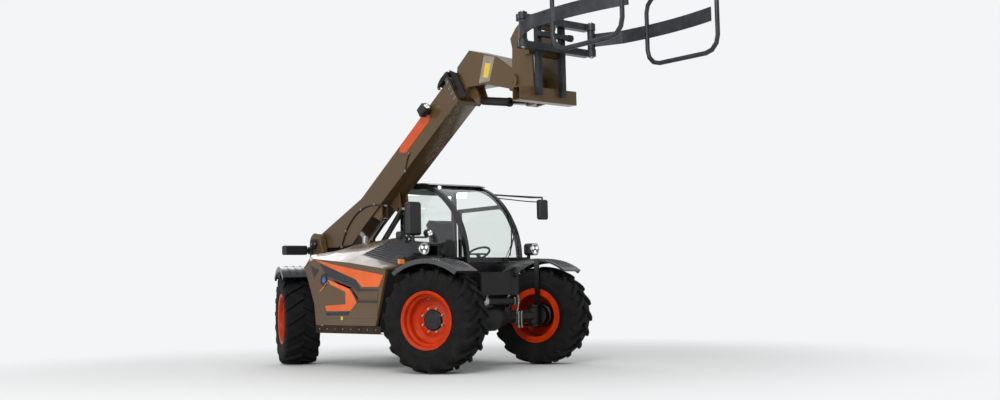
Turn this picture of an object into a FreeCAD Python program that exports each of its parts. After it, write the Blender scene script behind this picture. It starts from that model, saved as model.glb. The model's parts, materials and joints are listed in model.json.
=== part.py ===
import FreeCAD, Part
import math
import os

# Telehandler with a bale clamp, standing on its four wheels.
# X points forward, Y to the left and Z up, in millimetres.
# The origin is on the ground, midway between the axles, on the centre plane.

V = FreeCAD.Vector
AXIS_X = V(1, 0, 0)
AXIS_Y = V(0, 1, 0)
AXIS_Z = V(0, 0, 1)

# Running gear
WHEELBASE = 2870.0
AXLE_X = WHEELBASE / 2
TRACK = 1840.0
TYRE_RADIUS = 600.0
TYRE_HALF_WIDTH = 232.0
CASING_RADIUS = 566.0
WHEEL_SIDES = 24
LUG_COUNT = 18
LUG_WIDTH = 50.0
LUG_SWEEP = 15.0
LUG_START = 1.5
LUG_DEPTH = 95.0
LUG_FLARE = 1.15
LUG_CROWN = TYRE_RADIUS - 2.95
LUG_SHOULDER = TYRE_RADIUS - 17.0
RIM_SEAT_RADIUS = 306.0
RIM_FLANGE_RADIUS = 334.0
RIM_HALF_WIDTH = 204.0
RIM_SHEET = 12.0
RIM_WELL_DEPTH = 32.0
DISC_OFFSET = 34.0
DISC_THICKNESS = 18.0
HUB_RADIUS = 120.0
HUB_DRUM_RADIUS = 150.0
HUB_PROUD = 22.0
HUB_EDGE = 12.0
RUNNING_CLEARANCE = 0.3
SEAT_GAP = 0.3
KING_PIN_OFFSET = 260.0
KING_PIN_RADIUS = 30.0
PIN_FIT = 0.05
AXLE_TUBE_RADIUS = 75.0
AXLE_BOSS_RADIUS = 80.0
AXLE_BOSS_HALF = 95.0
DIFFERENTIAL_RADIUS = 165.0
EAR_GAP = 5.0
EAR_THICKNESS = 30.0
EAR_RADIUS = 70.0
KNUCKLE_GAP = 8.0
KNUCKLE_WALL = 30.0
KNUCKLE_HALF = 75.0
STEER_FRONT = 22.0
STEER_REAR = -22.0
FENDER_GAP = 72.0
FENDER_SHEET = 22.0
FENDER_HALF_ANGLE = 38.0
FENDER_HALF_WIDTH = 245.0
FENDER_LIP = 50.0
STRUT_X = 34.0
STRUT_WIDTH = 60.0
STRUT_THICKNESS = 26.0

# Frame, with the boom lying in the trough between its two side plates
BOOM_CENTRE_Y = -40.0
BOOM_HALF_WIDTH = 160.0
TROUGH_GAP = 15.0
RAIL_THICKNESS = 115.0
RAIL_SHEET = 22.0
RAIL_TOP = 1000.0
RAIL_BOTTOM = 500.0
RAIL_ARCH = 780.0
RAIL_FRONT = AXLE_X + 215.0
FRONT_UNDERSIDE = 860.0
STEER_BARREL_X = AXLE_X + 145.0
STEER_BARREL_Z = 795.0
STEER_BARREL_RADIUS = 48.0
RAIL_REAR = -2200.0
HITCH_BORE = 40.0
FRONT_PLATE_TOP = 1130.0
SADDLE_HALF = 90.0
SADDLE_WIDTH = 80.0
BELLY_THICKNESS = 40.0

# Boom, drawn level with its pivot at the local origin and then raised
PIVOT_X = -2050.0
PIVOT_Z = 1620.0
BOOM_ANGLE = 34.0
PIVOT_PIN_RADIUS = 45.0
PIVOT_BOSS_RADIUS = 130.0
BOOM_TOP = -107.0
BOOM_DEPTH = 340.0
BOOM_WALL = 10.0
BOOM_FOOT_END = 1170.0
BOOM_TIP = 3560.0
BOOM_BORE_START = 640.0
INNER_GAP = 12.0
PAD_CLEARANCE = 0.5
PAD_LENGTH = 90.0
INNER_TAIL = 760.0
COLLAR_LENGTH = 60.0
COLLAR_THICKNESS = 28.0
HEAD_PIN_U = 4490.0
HEAD_PIN_W = -1014.0
HEAD_PIN_RADIUS = 32.0
HEAD_NOSE_RADIUS = 95.0

# Hydraulic cylinders
LIFT_BASE = (-1750.0, 800.0)
LIFT_EYE_LOCAL = (1600.0, -612.0)
LIFT_Y = 25.0
LIFT_BARREL_RADIUS = 62.0
LIFT_ROD_RADIUS = 38.0
LIFT_BARREL_LENGTH = 1120.0
LIFT_ROD_LENGTH = 1190.0
LIFT_EYE_RADIUS = 48.0
LIFT_PIN_RADIUS = 26.0
LEVEL_BASE = (-1800.0, 1010.0)
LEVEL_EYE_LOCAL = (1350.0, -580.0)
LEVEL_Y = -125.0
LEVEL_BARREL_RADIUS = 38.0
LEVEL_ROD_RADIUS = 20.0
LEVEL_BARREL_LENGTH = 870.0
LEVEL_ROD_LENGTH = 1020.0
LEVEL_EYE_RADIUS = 30.0
LEVEL_PIN_RADIUS = 15.0
TILT_BASE = (1400.0, 3200.0)
TILT_EYE_FROM_PIN = (60.0, -240.0)
TILT_BARREL_RADIUS = 50.0
TILT_ROD_RADIUS = 28.0
TILT_BARREL_LENGTH = 530.0
TILT_ROD_LENGTH = 590.0
TILT_EYE_RADIUS = 42.0
TILT_PIN_RADIUS = 20.0
EYE_SIDE_GAP = 5.0
EAR_PLATE = 22.0

# Carriage and bale clamp
CARRIAGE_HALF = 225.0
CARRIAGE_PLATE = 25.0
BEAM_HALF = 430.0
CLAMP_Z = 470.0
CLAMP_ARM_Y = 520.0
CLAMP_PIVOT_X = 520.0
ARM_BAND_HEIGHT = 150.0
ARM_BAND_THICKNESS = 16.0
LOOP_START = 1210.0
LOOP_END = 2210.0
LOOP_HALF_HEIGHT = 380.0
LOOP_TUBE_RADIUS = 26.0
LOOP_CORNER = 170.0
LOOP_Y = 690.0

# Cab shell
CAB_RIGHT = 150.0
CAB_LEFT = 1100.0
CAB_REAR = -620.0
CAB_FRONT = 800.0
CAB_WAIST = 1280.0
CAB_FLOOR = 780.0
CAB_TOP = 2340.0
CAB_WALL = 40.0
PILLAR = 60.0
PILLAR_DEPTH = 50.0
DOOR_THICKNESS = 34.0
DOOR_GAP = 5.0
DOOR_TOP = 2040.0
GLASS = 8.0
SEAT_BASE_TOP = 1120.0
CUSHION_TOP = 1230.0

# Engine side
HOOD_OUTER = -1120.0
HOOD_SHOULDER = -950.0
HOOD_HINGE_Y = -460.0
HOOD_SHEET = 35.0
HOOD_GAP = 12.0
HOOD_AXIS_Z = 1602.0
HOOD_HINGES = (-400.0, 400.0)
HINGE_HALF = 28.0
HINGE_RADIUS = 16.0
HINGE_PIN_RADIUS = 7.0
DOOR_AXIS = (-577.0, 1083.0)
DOOR_HINGES = (1000.0, 1900.0)
BAY_HALF_LENGTH = AXLE_X - 795.0
BAY_SIDE_GAP = 30.0
GRILLE_START = 120.0
GRILLE_END = BAY_HALF_LENGTH - 20.0
GRILLE_Y0 = -905.0
GRILLE_Y1 = -525.0
SLAT_COUNT = 9
SLAT_BITE = 6.0
SLAT_DROP = 24.0
SLAT_THICKNESS = 7.0
VENT_START = -620.0
VENT_COUNT = 6
VENT_PITCH = 90.0
VENT_WIDTH = 34.0
TRAY_Z = 450.0

# Lamps, mirrors and fittings
LAMP_Z = 1350.0
MIRROR_X = 930.0
MIRROR_Y = -760.0
WORK_LAMP_Z = 1617.0
WORK_LAMP_RADIUS = 45.0
INDICATOR_Z = 1250.0
EXHAUST_PLACE = (-640.0, -400.0)
EXHAUST_RADIUS = 38.0


def box(x0, x1, y0, y1, z0, z1):
    return Part.makeBox(x1 - x0, y1 - y0, z1 - z0, V(x0, y0, z0))


def rod(start, end, radius):
    axis = end - start
    return Part.makeCylinder(radius, axis.Length, start, axis)


def pin_across(x, z, y0, y1, radius):
    return rod(V(x, y0, z), V(x, y1, z), radius)


def fuse(shapes):
    joined = shapes[0].multiFuse(shapes[1:]) if len(shapes) > 1 else shapes[0]
    return joined.removeSplitter()


def side_outline(points):
    """Wire in the XZ plane; a point with a third value is the middle of an arc to the next."""
    edges = []
    count = len(points)
    i = 0
    while i < count:
        start = V(points[i][0], 0, points[i][1])
        following = points[(i + 1) % count]
        if len(following) == 3:
            end = points[(i + 2) % count]
            middle = V(following[0], 0, following[1])
            edges.append(Part.Arc(start, middle, V(end[0], 0, end[1])).toShape())
            i += 2
        else:
            edges.append(Part.makeLine(start, V(following[0], 0, following[1])))
            i += 1
    return Part.Wire(edges)


def side_plate(points, y0, y1):
    """Plate whose outline is drawn in the side view and runs from y0 to y1."""
    face = Part.Face(side_outline(points))
    face.translate(V(0, y0, 0))
    return face.extrude(V(0, y1 - y0, 0))


def hollow_plate(points, y0, y1, sheet):
    """Closed box section with a side outline, made of plates of one thickness."""
    core = Part.Face(side_outline(points)).makeOffset2D(-sheet)
    core.translate(V(0, y0 + sheet, 0))
    core = core.extrude(V(0, y1 - y0 - 2 * sheet, 0))
    return side_plate(points, y0, y1).cut(core)


def inset(points, width):
    """Side outline moved inward by width at each corner."""
    count = len(points)
    moved = []
    for i in range(count):
        here = V(points[i][0], 0, points[i][1])
        into = (here - V(points[i - 1][0], 0, points[i - 1][1])).normalize()
        following = points[(i + 1) % count]
        out = (V(following[0], 0, following[1]) - here).normalize()
        side_in = V(-into.z, 0, into.x)
        side_out = V(-out.z, 0, out.x)
        mitre = (side_in + side_out).normalize()
        inner = here + mitre * (width / mitre.dot(side_in))
        moved.append((inner.x, inner.z) + tuple(points[i][2:]))
    return moved


def side_ring(points, width, y0, y1):
    """Frame that follows a side outline drawn anticlockwise seen from the right."""
    hole = side_plate(inset(points, width), y0 - 1, y1 + 1)
    return side_plate(points, y0, y1).cut(hole)


def solid_of(polygons):
    """Closed solid from flat polygons, each a list of corner points."""
    faces = [Part.Face(Part.makePolygon(corners + [corners[0]])) for corners in polygons]
    shell = Part.makeShell(faces)
    shell.sewShape()
    solid = Part.makeSolid(shell)
    if solid.Volume < 0:
        solid.reverse()
    return solid


def through_sections(sections):
    """Solid with flat facets through sections that have the same number of points."""
    polygons = [list(reversed(sections[0])), list(sections[-1])]
    for near, far in zip(sections, sections[1:]):
        for i in range(len(near)):
            j = (i + 1) % len(near)
            polygons.append([near[i], near[j], far[j]])
            polygons.append([near[i], far[j], far[i]])
    return solid_of(polygons)


def ring_about_y(profile, sides):
    """Ring with flat facets from a closed profile of (y, radius) points."""
    step = 2 * math.pi / sides
    polygons = []
    for i in range(sides):
        a = (i - 0.5) * step
        b = (i + 0.5) * step
        for j in range(len(profile)):
            y0, r0 = profile[j]
            y1, r1 = profile[(j + 1) % len(profile)]
            polygons.append([V(r0 * math.sin(a), y0, r0 * math.cos(a)),
                             V(r1 * math.sin(a), y1, r1 * math.cos(a)),
                             V(r1 * math.sin(b), y1, r1 * math.cos(b)),
                             V(r0 * math.sin(b), y0, r0 * math.cos(b))])
    return solid_of(polygons)


def tube_loop(path, radius, sides):
    """Closed loop of tube, mitred at the corners of a flat path of (x, z) points."""
    count = len(path)
    rings = []
    for i in range(count):
        here = V(path[i][0], 0, path[i][1])
        before = V(path[i - 1][0], 0, path[i - 1][1])
        after = V(path[(i + 1) % count][0], 0, path[(i + 1) % count][1])
        into = (here - before).normalize()
        out = (after - here).normalize()
        side_in = V(into.z, 0, -into.x)
        side_out = V(out.z, 0, -out.x)
        mitre = (side_in + side_out).normalize()
        mitre = mitre * (1 / mitre.dot(side_in))
        ring = []
        for k in range(sides):
            turn = (k + 0.5) * 2 * math.pi / sides
            ring.append(here + mitre * (radius * math.cos(turn)) + AXIS_Y * (radius * math.sin(turn)))
        rings.append(ring)
    polygons = []
    for i in range(count):
        near = rings[i - 1]
        far = rings[i]
        for k in range(sides):
            n = (k + 1) % sides
            polygons.append([near[k], near[n], far[n], far[k]])
    return solid_of(polygons)


def chamfered(shape, size):
    return shape.makeChamfer(size, [e for e in shape.Edges])


def mirrored_y(shape):
    return shape.mirror(V(0, 0, 0), AXIS_Y)


def save(name, shape):
    shape.exportStep("parts/" + name + ".step")


def boom_point(u, w, angle=BOOM_ANGLE):
    """Side-view place of a point given along the boom (u) and square to it (w)."""
    a = math.radians(angle)
    x = PIVOT_X + u * math.cos(a) - w * math.sin(a)
    z = PIVOT_Z + u * math.sin(a) + w * math.cos(a)
    return x, z


def raised(shape):
    """Boom piece drawn level about the origin, put at its pivot and raised."""
    shape.rotate(V(0, 0, 0), V(0, -1, 0), BOOM_ANGLE)
    shape.translate(V(PIVOT_X, 0, PIVOT_Z))
    return shape


# Tyre and rim, drawn about the wheel centre with the outboard side at +Y

def tyre_lug(turn, side):
    """Straight bar from the middle of the tread to the shoulder; turn in degrees."""
    def at(angle, y, radius):
        a = math.radians(turn + angle)
        return V(radius * math.sin(a), side * y, radius * math.cos(a))

    near = at(0, 8, LUG_CROWN)
    far = at(LUG_SWEEP, TYRE_HALF_WIDTH - 20, LUG_SHOULDER)
    down = at(LUG_SWEEP / 2, 0, -LUG_DEPTH)
    along = far - near
    across = along.cross(down).normalize() * (LUG_WIDTH / 2)
    corners = [near + across, near - across,
               near - across * LUG_FLARE + down, near + across * LUG_FLARE + down]
    return Part.Face(Part.makePolygon(corners + [corners[0]])).extrude(along)


def tyre():
    half = [(RIM_HALF_WIDTH - 4 - SEAT_GAP, RIM_SEAT_RADIUS + SEAT_GAP),
            (TYRE_HALF_WIDTH - 7, 490), (TYRE_HALF_WIDTH - 30, CASING_RADIUS - 8)]
    profile = half + [(-y, r) for y, r in reversed(half)]
    casing = ring_about_y(profile, WHEEL_SIDES)
    pitch = 360.0 / LUG_COUNT
    lugs = []
    for i in range(LUG_COUNT):
        lugs.append(tyre_lug(LUG_START + i * pitch, 1))
        lugs.append(tyre_lug(LUG_START + (i + 0.5) * pitch, -1))
    return casing.multiFuse(lugs).removeSplitter()


def rim():
    seat = RIM_SEAT_RADIUS
    flange = RIM_FLANGE_RADIUS
    edge = RIM_HALF_WIDTH
    well = seat - RIM_WELL_DEPTH
    inner_well = well - RIM_SHEET
    inner_seat = seat - RIM_SHEET
    front = DISC_OFFSET + DISC_THICKNESS
    hole = (HUB_RADIUS + RUNNING_CLEARANCE) / math.cos(math.pi / WHEEL_SIDES)
    profile = [(edge + 10, flange), (edge, flange), (edge - 4, seat), (edge - 54, seat),
               (edge - 74, well), (74 - edge, well), (4 - edge, seat),
               (-edge, flange), (-edge - 10, flange), (-edge - 10, inner_well),
               (DISC_OFFSET, inner_well), (DISC_OFFSET, hole), (front, hole),
               (front, inner_well - 64), (front + 20, inner_well), (edge - 64, inner_well),
               (edge - 44, inner_seat), (edge + 6, inner_seat)]
    return ring_about_y(profile, WHEEL_SIDES)


# Knuckle and fender, drawn about the king pin with the outboard side at +Y

def knuckle():
    """Fork round the end of the axle, with king pin, hub drum and steering arm."""
    ear_start = AXLE_BOSS_HALF + EAR_GAP
    outer = ear_start + EAR_THICKNESS
    wall_y = AXLE_BOSS_RADIUS + KNUCKLE_GAP
    back_y = wall_y + KNUCKLE_WALL
    fork = [(-EAR_RADIUS, -outer), (back_y, -outer), (back_y, outer), (-EAR_RADIUS, outer),
            (-EAR_RADIUS, ear_start), (wall_y, ear_start), (wall_y, -ear_start),
            (-EAR_RADIUS, -ear_start)]
    corners = [V(-KNUCKLE_HALF, y, z) for y, z in fork]
    yoke = Part.Face(Part.makePolygon(corners + [corners[0]]))
    yoke = yoke.extrude(V(2 * KNUCKLE_HALF, 0, 0))
    for side in (-1, 1):
        cut = [V(side * 30, -EAR_RADIUS - 1, -outer - 1),
               V(side * (KNUCKLE_HALF + 1), -EAR_RADIUS - 1, -outer - 1),
               V(side * (KNUCKLE_HALF + 1), -25, -outer - 1)]
        prism = Part.Face(Part.makePolygon(cut + [cut[0]])).extrude(V(0, 0, 2 * outer + 2))
        yoke = yoke.cut(prism)
    reach = outer + 8
    king_pin = Part.makeCylinder(KING_PIN_RADIUS, 2 * reach, V(0, 0, -reach))
    drum_end = KING_PIN_OFFSET + DISC_OFFSET - EAR_GAP
    hub_end = KING_PIN_OFFSET + DISC_OFFSET + DISC_THICKNESS + HUB_PROUD
    neck = HUB_DRUM_RADIUS - 25
    core = 6
    drum = ring_about_y([(back_y - 10, core), (back_y - 10, neck), (drum_end - 90, neck),
                         (drum_end - 80, HUB_DRUM_RADIUS), (drum_end, HUB_DRUM_RADIUS),
                         (drum_end, HUB_RADIUS), (hub_end - HUB_EDGE, HUB_RADIUS),
                         (hub_end, HUB_RADIUS - HUB_EDGE), (hub_end, core)], 12)
    middle = box(-core, core, back_y - 10, hub_end, -core, core)
    arm = box(-210, -40, -20, 40, -outer, -ear_start)
    return fuse([yoke, king_pin, drum, middle, arm])


def fender():
    inner = TYRE_RADIUS + FENDER_GAP
    outer = inner + FENDER_SHEET
    y0 = KING_PIN_OFFSET - FENDER_HALF_WIDTH
    y1 = KING_PIN_OFFSET + FENDER_HALF_WIDTH
    a = math.radians(FENDER_HALF_ANGLE)

    def arc_plate(r0, r1, ya, yb):
        def at(radius, angle):
            return radius * math.sin(angle), radius * math.cos(angle)
        points = [at(r1, -a), at(r1, 0) + (0,), at(r1, a), at(r0, a), at(r0, 0) + (0,), at(r0, -a)]
        return side_plate(points, ya, yb)

    pieces = [arc_plate(inner, outer, y0, y1),
              arc_plate(inner - FENDER_LIP + FENDER_SHEET, outer, y1 - FENDER_SHEET, y1)]
    foot = AXLE_BOSS_HALF + EAR_GAP + EAR_THICKNESS
    strut_y = KING_PIN_OFFSET - TYRE_HALF_WIDTH - 10 - STRUT_THICKNESS
    pieces.append(box(STRUT_X, STRUT_X + STRUT_WIDTH, strut_y,
                      strut_y + STRUT_THICKNESS, foot, inner - 8))
    pieces.append(box(STRUT_X, STRUT_X + STRUT_WIDTH, strut_y,
                      y0 + 60, inner - 24, inner + 6))
    return fuse(pieces)


# Axles, with a bored boss for the king pin at each end

def axle(x):
    """Axle beam with differential, saddles under the frame and bored ends."""
    z = TYRE_RADIUS
    king_y = TRACK / 2 - KING_PIN_OFFSET
    r = AXLE_TUBE_RADIUS
    k = 0.42 * r
    tube = [(x - r, z - k), (x - k, z - r), (x + k, z - r), (x + r, z - k),
            (x + r, z + k), (x + k, z + r), (x - k, z + r), (x - r, z + k)]
    pieces = [side_plate(tube, -king_y, king_y)]
    centre = [(-300, AXLE_TUBE_RADIUS), (-130, DIFFERENTIAL_RADIUS - 30),
              (-60, DIFFERENTIAL_RADIUS), (60, DIFFERENTIAL_RADIUS),
              (130, DIFFERENTIAL_RADIUS - 30), (300, AXLE_TUBE_RADIUS)]
    core = [(y, 20) for y in (300, -300)]
    bulge = ring_about_y(centre + core, 12)
    bulge.translate(V(x, BOOM_CENTRE_Y, z))
    pieces.append(bulge)
    right, left = trough_faces()
    for y0 in (right - SADDLE_WIDTH, left):
        pieces.append(box(x - SADDLE_HALF, x + SADDLE_HALF, y0, y0 + SADDLE_WIDTH,
                          z, RAIL_ARCH))
    if x > 0:
        pieces.append(pin_across(STEER_BARREL_X, STEER_BARREL_Z, right - 110, left + 110,
                                 STEER_BARREL_RADIUS))
        for y0 in (right - 60, left + 20):
            pieces.append(box(x + SADDLE_HALF - 10, STEER_BARREL_X, y0, y0 + 40,
                              STEER_BARREL_Z - 75, STEER_BARREL_Z - 25))
    for side in (-1, 1):
        pieces.append(Part.makeCylinder(AXLE_BOSS_RADIUS, 2 * AXLE_BOSS_HALF,
                                        V(x, side * king_y, z - AXLE_BOSS_HALF)))
    body = fuse(pieces)
    for side in (-1, 1):
        bore = Part.makeCylinder(KING_PIN_RADIUS + PIN_FIT, 400, V(x, side * king_y, z - 200))
        body = body.cut(bore)
    return body


def running_gear():
    """Four corners: name, x, side and steering angle at rest."""
    corners = [("front_left", AXLE_X, 1, STEER_FRONT), ("front_right", AXLE_X, -1, STEER_FRONT),
               ("rear_left", -AXLE_X, 1, STEER_REAR), ("rear_right", -AXLE_X, -1, STEER_REAR)]
    king_y = TRACK / 2 - KING_PIN_OFFSET
    wheel_pieces = {"tyre": tyre(), "rim": rim()}
    for shape in wheel_pieces.values():
        shape.translate(V(0, KING_PIN_OFFSET, 0))
    drawn = dict(wheel_pieces, knuckle=knuckle(), fender=fender())
    for corner, x, side, angle in corners:
        for kind, shape in drawn.items():
            piece = shape.copy() if side > 0 else mirrored_y(shape)
            piece.rotate(V(0, 0, 0), AXIS_Z, angle)
            piece.translate(V(x, side * king_y, TYRE_RADIUS))
            save(kind + "_" + corner, piece)
    save("front_axle", axle(AXLE_X))
    save("rear_axle", axle(-AXLE_X))


def trough_faces():
    """Inner faces of the two side plates, beside the boom."""
    reach = BOOM_HALF_WIDTH + TROUGH_GAP
    return BOOM_CENTRE_Y - reach, BOOM_CENTRE_Y + reach


def frame():
    """Two hollow side members with cross plates, belly plate and cylinder pins."""
    right, left = trough_faces()
    x = AXLE_X
    side = [(RAIL_REAR, 740), (-x - 365, 740), (-x - 215, RAIL_ARCH), (285 - x, RAIL_ARCH),
            (585 - x, RAIL_BOTTOM), (x - 585, RAIL_BOTTOM), (x - 285, RAIL_ARCH),
            (x + 80, RAIL_ARCH), (x + 90, FRONT_UNDERSIDE), (RAIL_FRONT, FRONT_UNDERSIDE),
            (RAIL_FRONT, FRONT_PLATE_TOP), (RAIL_FRONT - 65, FRONT_PLATE_TOP),
            (RAIL_FRONT - 105, RAIL_TOP), (-1600, RAIL_TOP), (-1750, 1080), (RAIL_REAR, 1080)]
    under_cab = [(CAB_FRONT + 40, RAIL_TOP), (CAB_FRONT + 40, CAB_FLOOR),
                 (CAB_REAR - 30, CAB_FLOOR), (CAB_REAR - 30, RAIL_TOP)]
    left_side = side[:13] + under_cab + side[13:]
    belly_half = x - 635
    pieces = [hollow_plate(side, right - RAIL_THICKNESS, right, RAIL_SHEET),
              hollow_plate(left_side, left, left + RAIL_THICKNESS, RAIL_SHEET),
              box(-belly_half, belly_half, right, left, RAIL_BOTTOM,
                  RAIL_BOTTOM + BELLY_THICKNESS),
              box(x + 125, x + 150, right, left, FRONT_UNDERSIDE, 970),
              box(RAIL_REAR, RAIL_REAR + 60, right, left, 740, 1060)]
    eye_y = left + 0.5 * RAIL_THICKNESS
    eye_z = FRONT_PLATE_TOP - 30
    towing_eye = pin_across(RAIL_FRONT + 14, eye_z, eye_y - 12, eye_y + 12, 30)
    towing_eye = towing_eye.fuse(box(RAIL_FRONT - 4, RAIL_FRONT + 14, eye_y - 12, eye_y + 12,
                                     eye_z - 30, eye_z + 30))
    towing_eye = towing_eye.cut(pin_across(RAIL_FRONT + 18, eye_z, eye_y - 13, eye_y + 13, 13))
    pieces.append(towing_eye)
    pieces.append(pin_across(LIFT_BASE[0], LIFT_BASE[1], right, left, LIFT_PIN_RADIUS))
    pieces.append(pin_across(LEVEL_BASE[0], LEVEL_BASE[1], right, left, LEVEL_PIN_RADIUS))
    return fuse(pieces)


def boom_tower():
    """Upright plates that carry the boom's pivot pin."""
    right, left = trough_faces()
    r = PIVOT_BOSS_RADIUS + 20
    side = [(RAIL_REAR, 1080), (-1750, 1080), (-1780, 1300), (PIVOT_X + r, PIVOT_Z),
            (PIVOT_X, PIVOT_Z + r, 0), (PIVOT_X - r, PIVOT_Z), (RAIL_REAR, 1400)]
    pieces = [side_plate(side, right - RAIL_THICKNESS + 25, right),
              side_plate(side, left, left + RAIL_THICKNESS - 25),
              box(RAIL_REAR, RAIL_REAR + 40, right, left, 1080, 1380),
              pin_across(PIVOT_X, PIVOT_Z, right - RAIL_THICKNESS, left + RAIL_THICKNESS,
                         PIVOT_PIN_RADIUS)]
    return fuse(pieces)


def tow_hitch():
    """Clevis on the rear cross plate, bored for a drawbar pin."""
    y0 = BOOM_CENTRE_Y - 90
    y1 = BOOM_CENTRE_Y + 90
    x0 = RAIL_REAR - 170
    pieces = [box(RAIL_REAR - 25, RAIL_REAR, y0 - 30, y1 + 30, 745, 1050)]
    for z in (780, 910):
        pieces.append(box(x0 + 60, RAIL_REAR - 20, y0, y1, z, z + 40))
        pieces.append(Part.makeCylinder(90, 40, V(x0 + 60, BOOM_CENTRE_Y, z)))
    body = fuse(pieces)
    return body.cut(Part.makeCylinder(HITCH_BORE / 2, 400, V(x0 + 60, BOOM_CENTRE_Y, 700)))


def cylinder_pair(base, tip, y, sizes):
    """Barrel and rod between two pins in the side view, the rod's eye left open."""
    barrel_radius, rod_radius, barrel_length, rod_length, eye_radius, pin_radius, half = sizes
    start = V(base[0], y, base[1])
    end = V(tip[0], y, tip[1])
    along = (end - start)
    along.normalize()
    barrel = rod(start + along * (eye_radius * 0.6), start + along * barrel_length,
                 barrel_radius)
    hollow = rod(start + along * (eye_radius + 20), start + along * (barrel_length - 45),
                 rod_radius + 6)
    gland = rod(start + along * (barrel_length - 60), start + along * (barrel_length + 1),
                rod_radius + RUNNING_CLEARANCE)
    barrel = barrel.fuse(pin_across(base[0], base[1], y - half, y + half, eye_radius))
    barrel = barrel.cut(hollow).cut(gland)
    barrel = barrel.cut(pin_across(base[0], base[1], y - 200, y + 200, pin_radius + PIN_FIT))
    ram = rod(end - along * rod_length, end - along * (eye_radius * 0.6), rod_radius)
    ram = ram.fuse(pin_across(tip[0], tip[1], y - half, y + half, eye_radius))
    ram = ram.cut(pin_across(tip[0], tip[1], y - 200, y + 200, pin_radius))
    return barrel.removeSplitter(), ram.removeSplitter()


def head_pin_place():
    return boom_point(HEAD_PIN_U, HEAD_PIN_W)


def cylinders():
    """Name, base pin, rod pin, y and sizes of the three cylinders."""
    pin_x, pin_z = head_pin_place()
    tilt_eye = (pin_x + TILT_EYE_FROM_PIN[0], pin_z + TILT_EYE_FROM_PIN[1])
    table = [("lift", LIFT_BASE, boom_point(*LIFT_EYE_LOCAL), LIFT_Y,
              (LIFT_BARREL_RADIUS, LIFT_ROD_RADIUS, LIFT_BARREL_LENGTH, LIFT_ROD_LENGTH,
               LIFT_EYE_RADIUS, LIFT_PIN_RADIUS, 45.0)),
             ("level", LEVEL_BASE, boom_point(*LEVEL_EYE_LOCAL), LEVEL_Y,
              (LEVEL_BARREL_RADIUS, LEVEL_ROD_RADIUS, LEVEL_BARREL_LENGTH, LEVEL_ROD_LENGTH,
               LEVEL_EYE_RADIUS, LEVEL_PIN_RADIUS, 25.0)),
             ("tilt", TILT_BASE, tilt_eye, BOOM_CENTRE_Y,
              (TILT_BARREL_RADIUS, TILT_ROD_RADIUS, TILT_BARREL_LENGTH, TILT_ROD_LENGTH,
               TILT_EYE_RADIUS, TILT_PIN_RADIUS, 45.0))]
    for name, base, tip, y, sizes in table:
        barrel, ram = cylinder_pair(base, tip, y, sizes)
        save(name + "_barrel", barrel)
        save(name + "_rod", ram)


def ear_pair(outline, y, half, bore_at, bore):
    """Two plates either side of a cylinder's eye, open between them."""
    inner = half + EYE_SIDE_GAP
    plates = []
    for side in (-1, 1):
        y0 = y + inner if side > 0 else y - inner - EAR_PLATE
        plate = side_plate(outline, y0, y0 + EAR_PLATE)
        plates.append(plate.cut(pin_across(bore_at[0], bore_at[1], y0 - 1,
                                           y0 + EAR_PLATE + 1, bore)))
    return plates


def outer_boom():
    y0 = BOOM_CENTRE_Y - BOOM_HALF_WIDTH
    y1 = BOOM_CENTRE_Y + BOOM_HALF_WIDTH
    top = BOOM_TOP
    bottom = BOOM_TOP - BOOM_DEPTH
    r = PIVOT_BOSS_RADIUS
    side = [(0, r), (BOOM_FOOT_END, top), (BOOM_TIP, top), (BOOM_TIP, bottom),
            (1000, bottom), (620, bottom - 25), (0.5 * r, -0.9 * r), (-r, 0, 0)]
    body = side_plate(side, y0, y1)
    bore = box(BOOM_BORE_START, BOOM_TIP + 1, y0 + BOOM_WALL, y1 - BOOM_WALL,
               bottom + BOOM_WALL, top - BOOM_WALL)
    body = body.cut(bore)
    pieces = [body]
    outer = box(BOOM_TIP - COLLAR_LENGTH, BOOM_TIP, y0 - COLLAR_THICKNESS,
                y1 + COLLAR_THICKNESS, bottom - COLLAR_THICKNESS, top + COLLAR_THICKNESS)
    pieces.append(outer.cut(box(BOOM_TIP - COLLAR_LENGTH - 1, BOOM_TIP + 1, y0 + 1, y1 - 1,
                                bottom + 1, top - 1)))
    # Wear pads on the four walls at the mouth guide the inner section
    pad = BOOM_WALL + INNER_GAP - PAD_CLEARANCE
    for wall_y0, wall_y1 in ((y0 + 1, y0 + pad), (y1 - pad, y1 - 1)):
        pieces.append(box(BOOM_TIP - PAD_LENGTH, BOOM_TIP - 5, wall_y0, wall_y1,
                          bottom + 60, top - 60))
    for wall_z0, wall_z1 in ((bottom + 1, bottom + pad), (top - pad, top - 1)):
        pieces.append(box(BOOM_TIP - PAD_LENGTH, BOOM_TIP - 5, y0 + 60, y1 - 60,
                          wall_z0, wall_z1))
    for eye_at, y, half, eye_radius in ((LIFT_EYE_LOCAL, LIFT_Y, 45.0, LIFT_EYE_RADIUS),
                                        (LEVEL_EYE_LOCAL, LEVEL_Y, 25.0, LEVEL_EYE_RADIUS)):
        u, w = eye_at
        lug = [(u - 130, bottom + 1), (u - 0.9 * eye_radius, w - 0.45 * eye_radius),
               (u, w - eye_radius, 0), (u + 0.9 * eye_radius, w - 0.45 * eye_radius),
               (u + 130, bottom + 1)]
        bore_radius = LIFT_PIN_RADIUS if eye_radius == LIFT_EYE_RADIUS else LEVEL_PIN_RADIUS
        pieces += ear_pair(lug, y, half, eye_at, bore_radius)
    body = fuse(pieces)
    body = body.cut(pin_across(0, 0, y0 - 50, y1 + 50, PIVOT_PIN_RADIUS + PIN_FIT))
    return raised(body)


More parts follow.
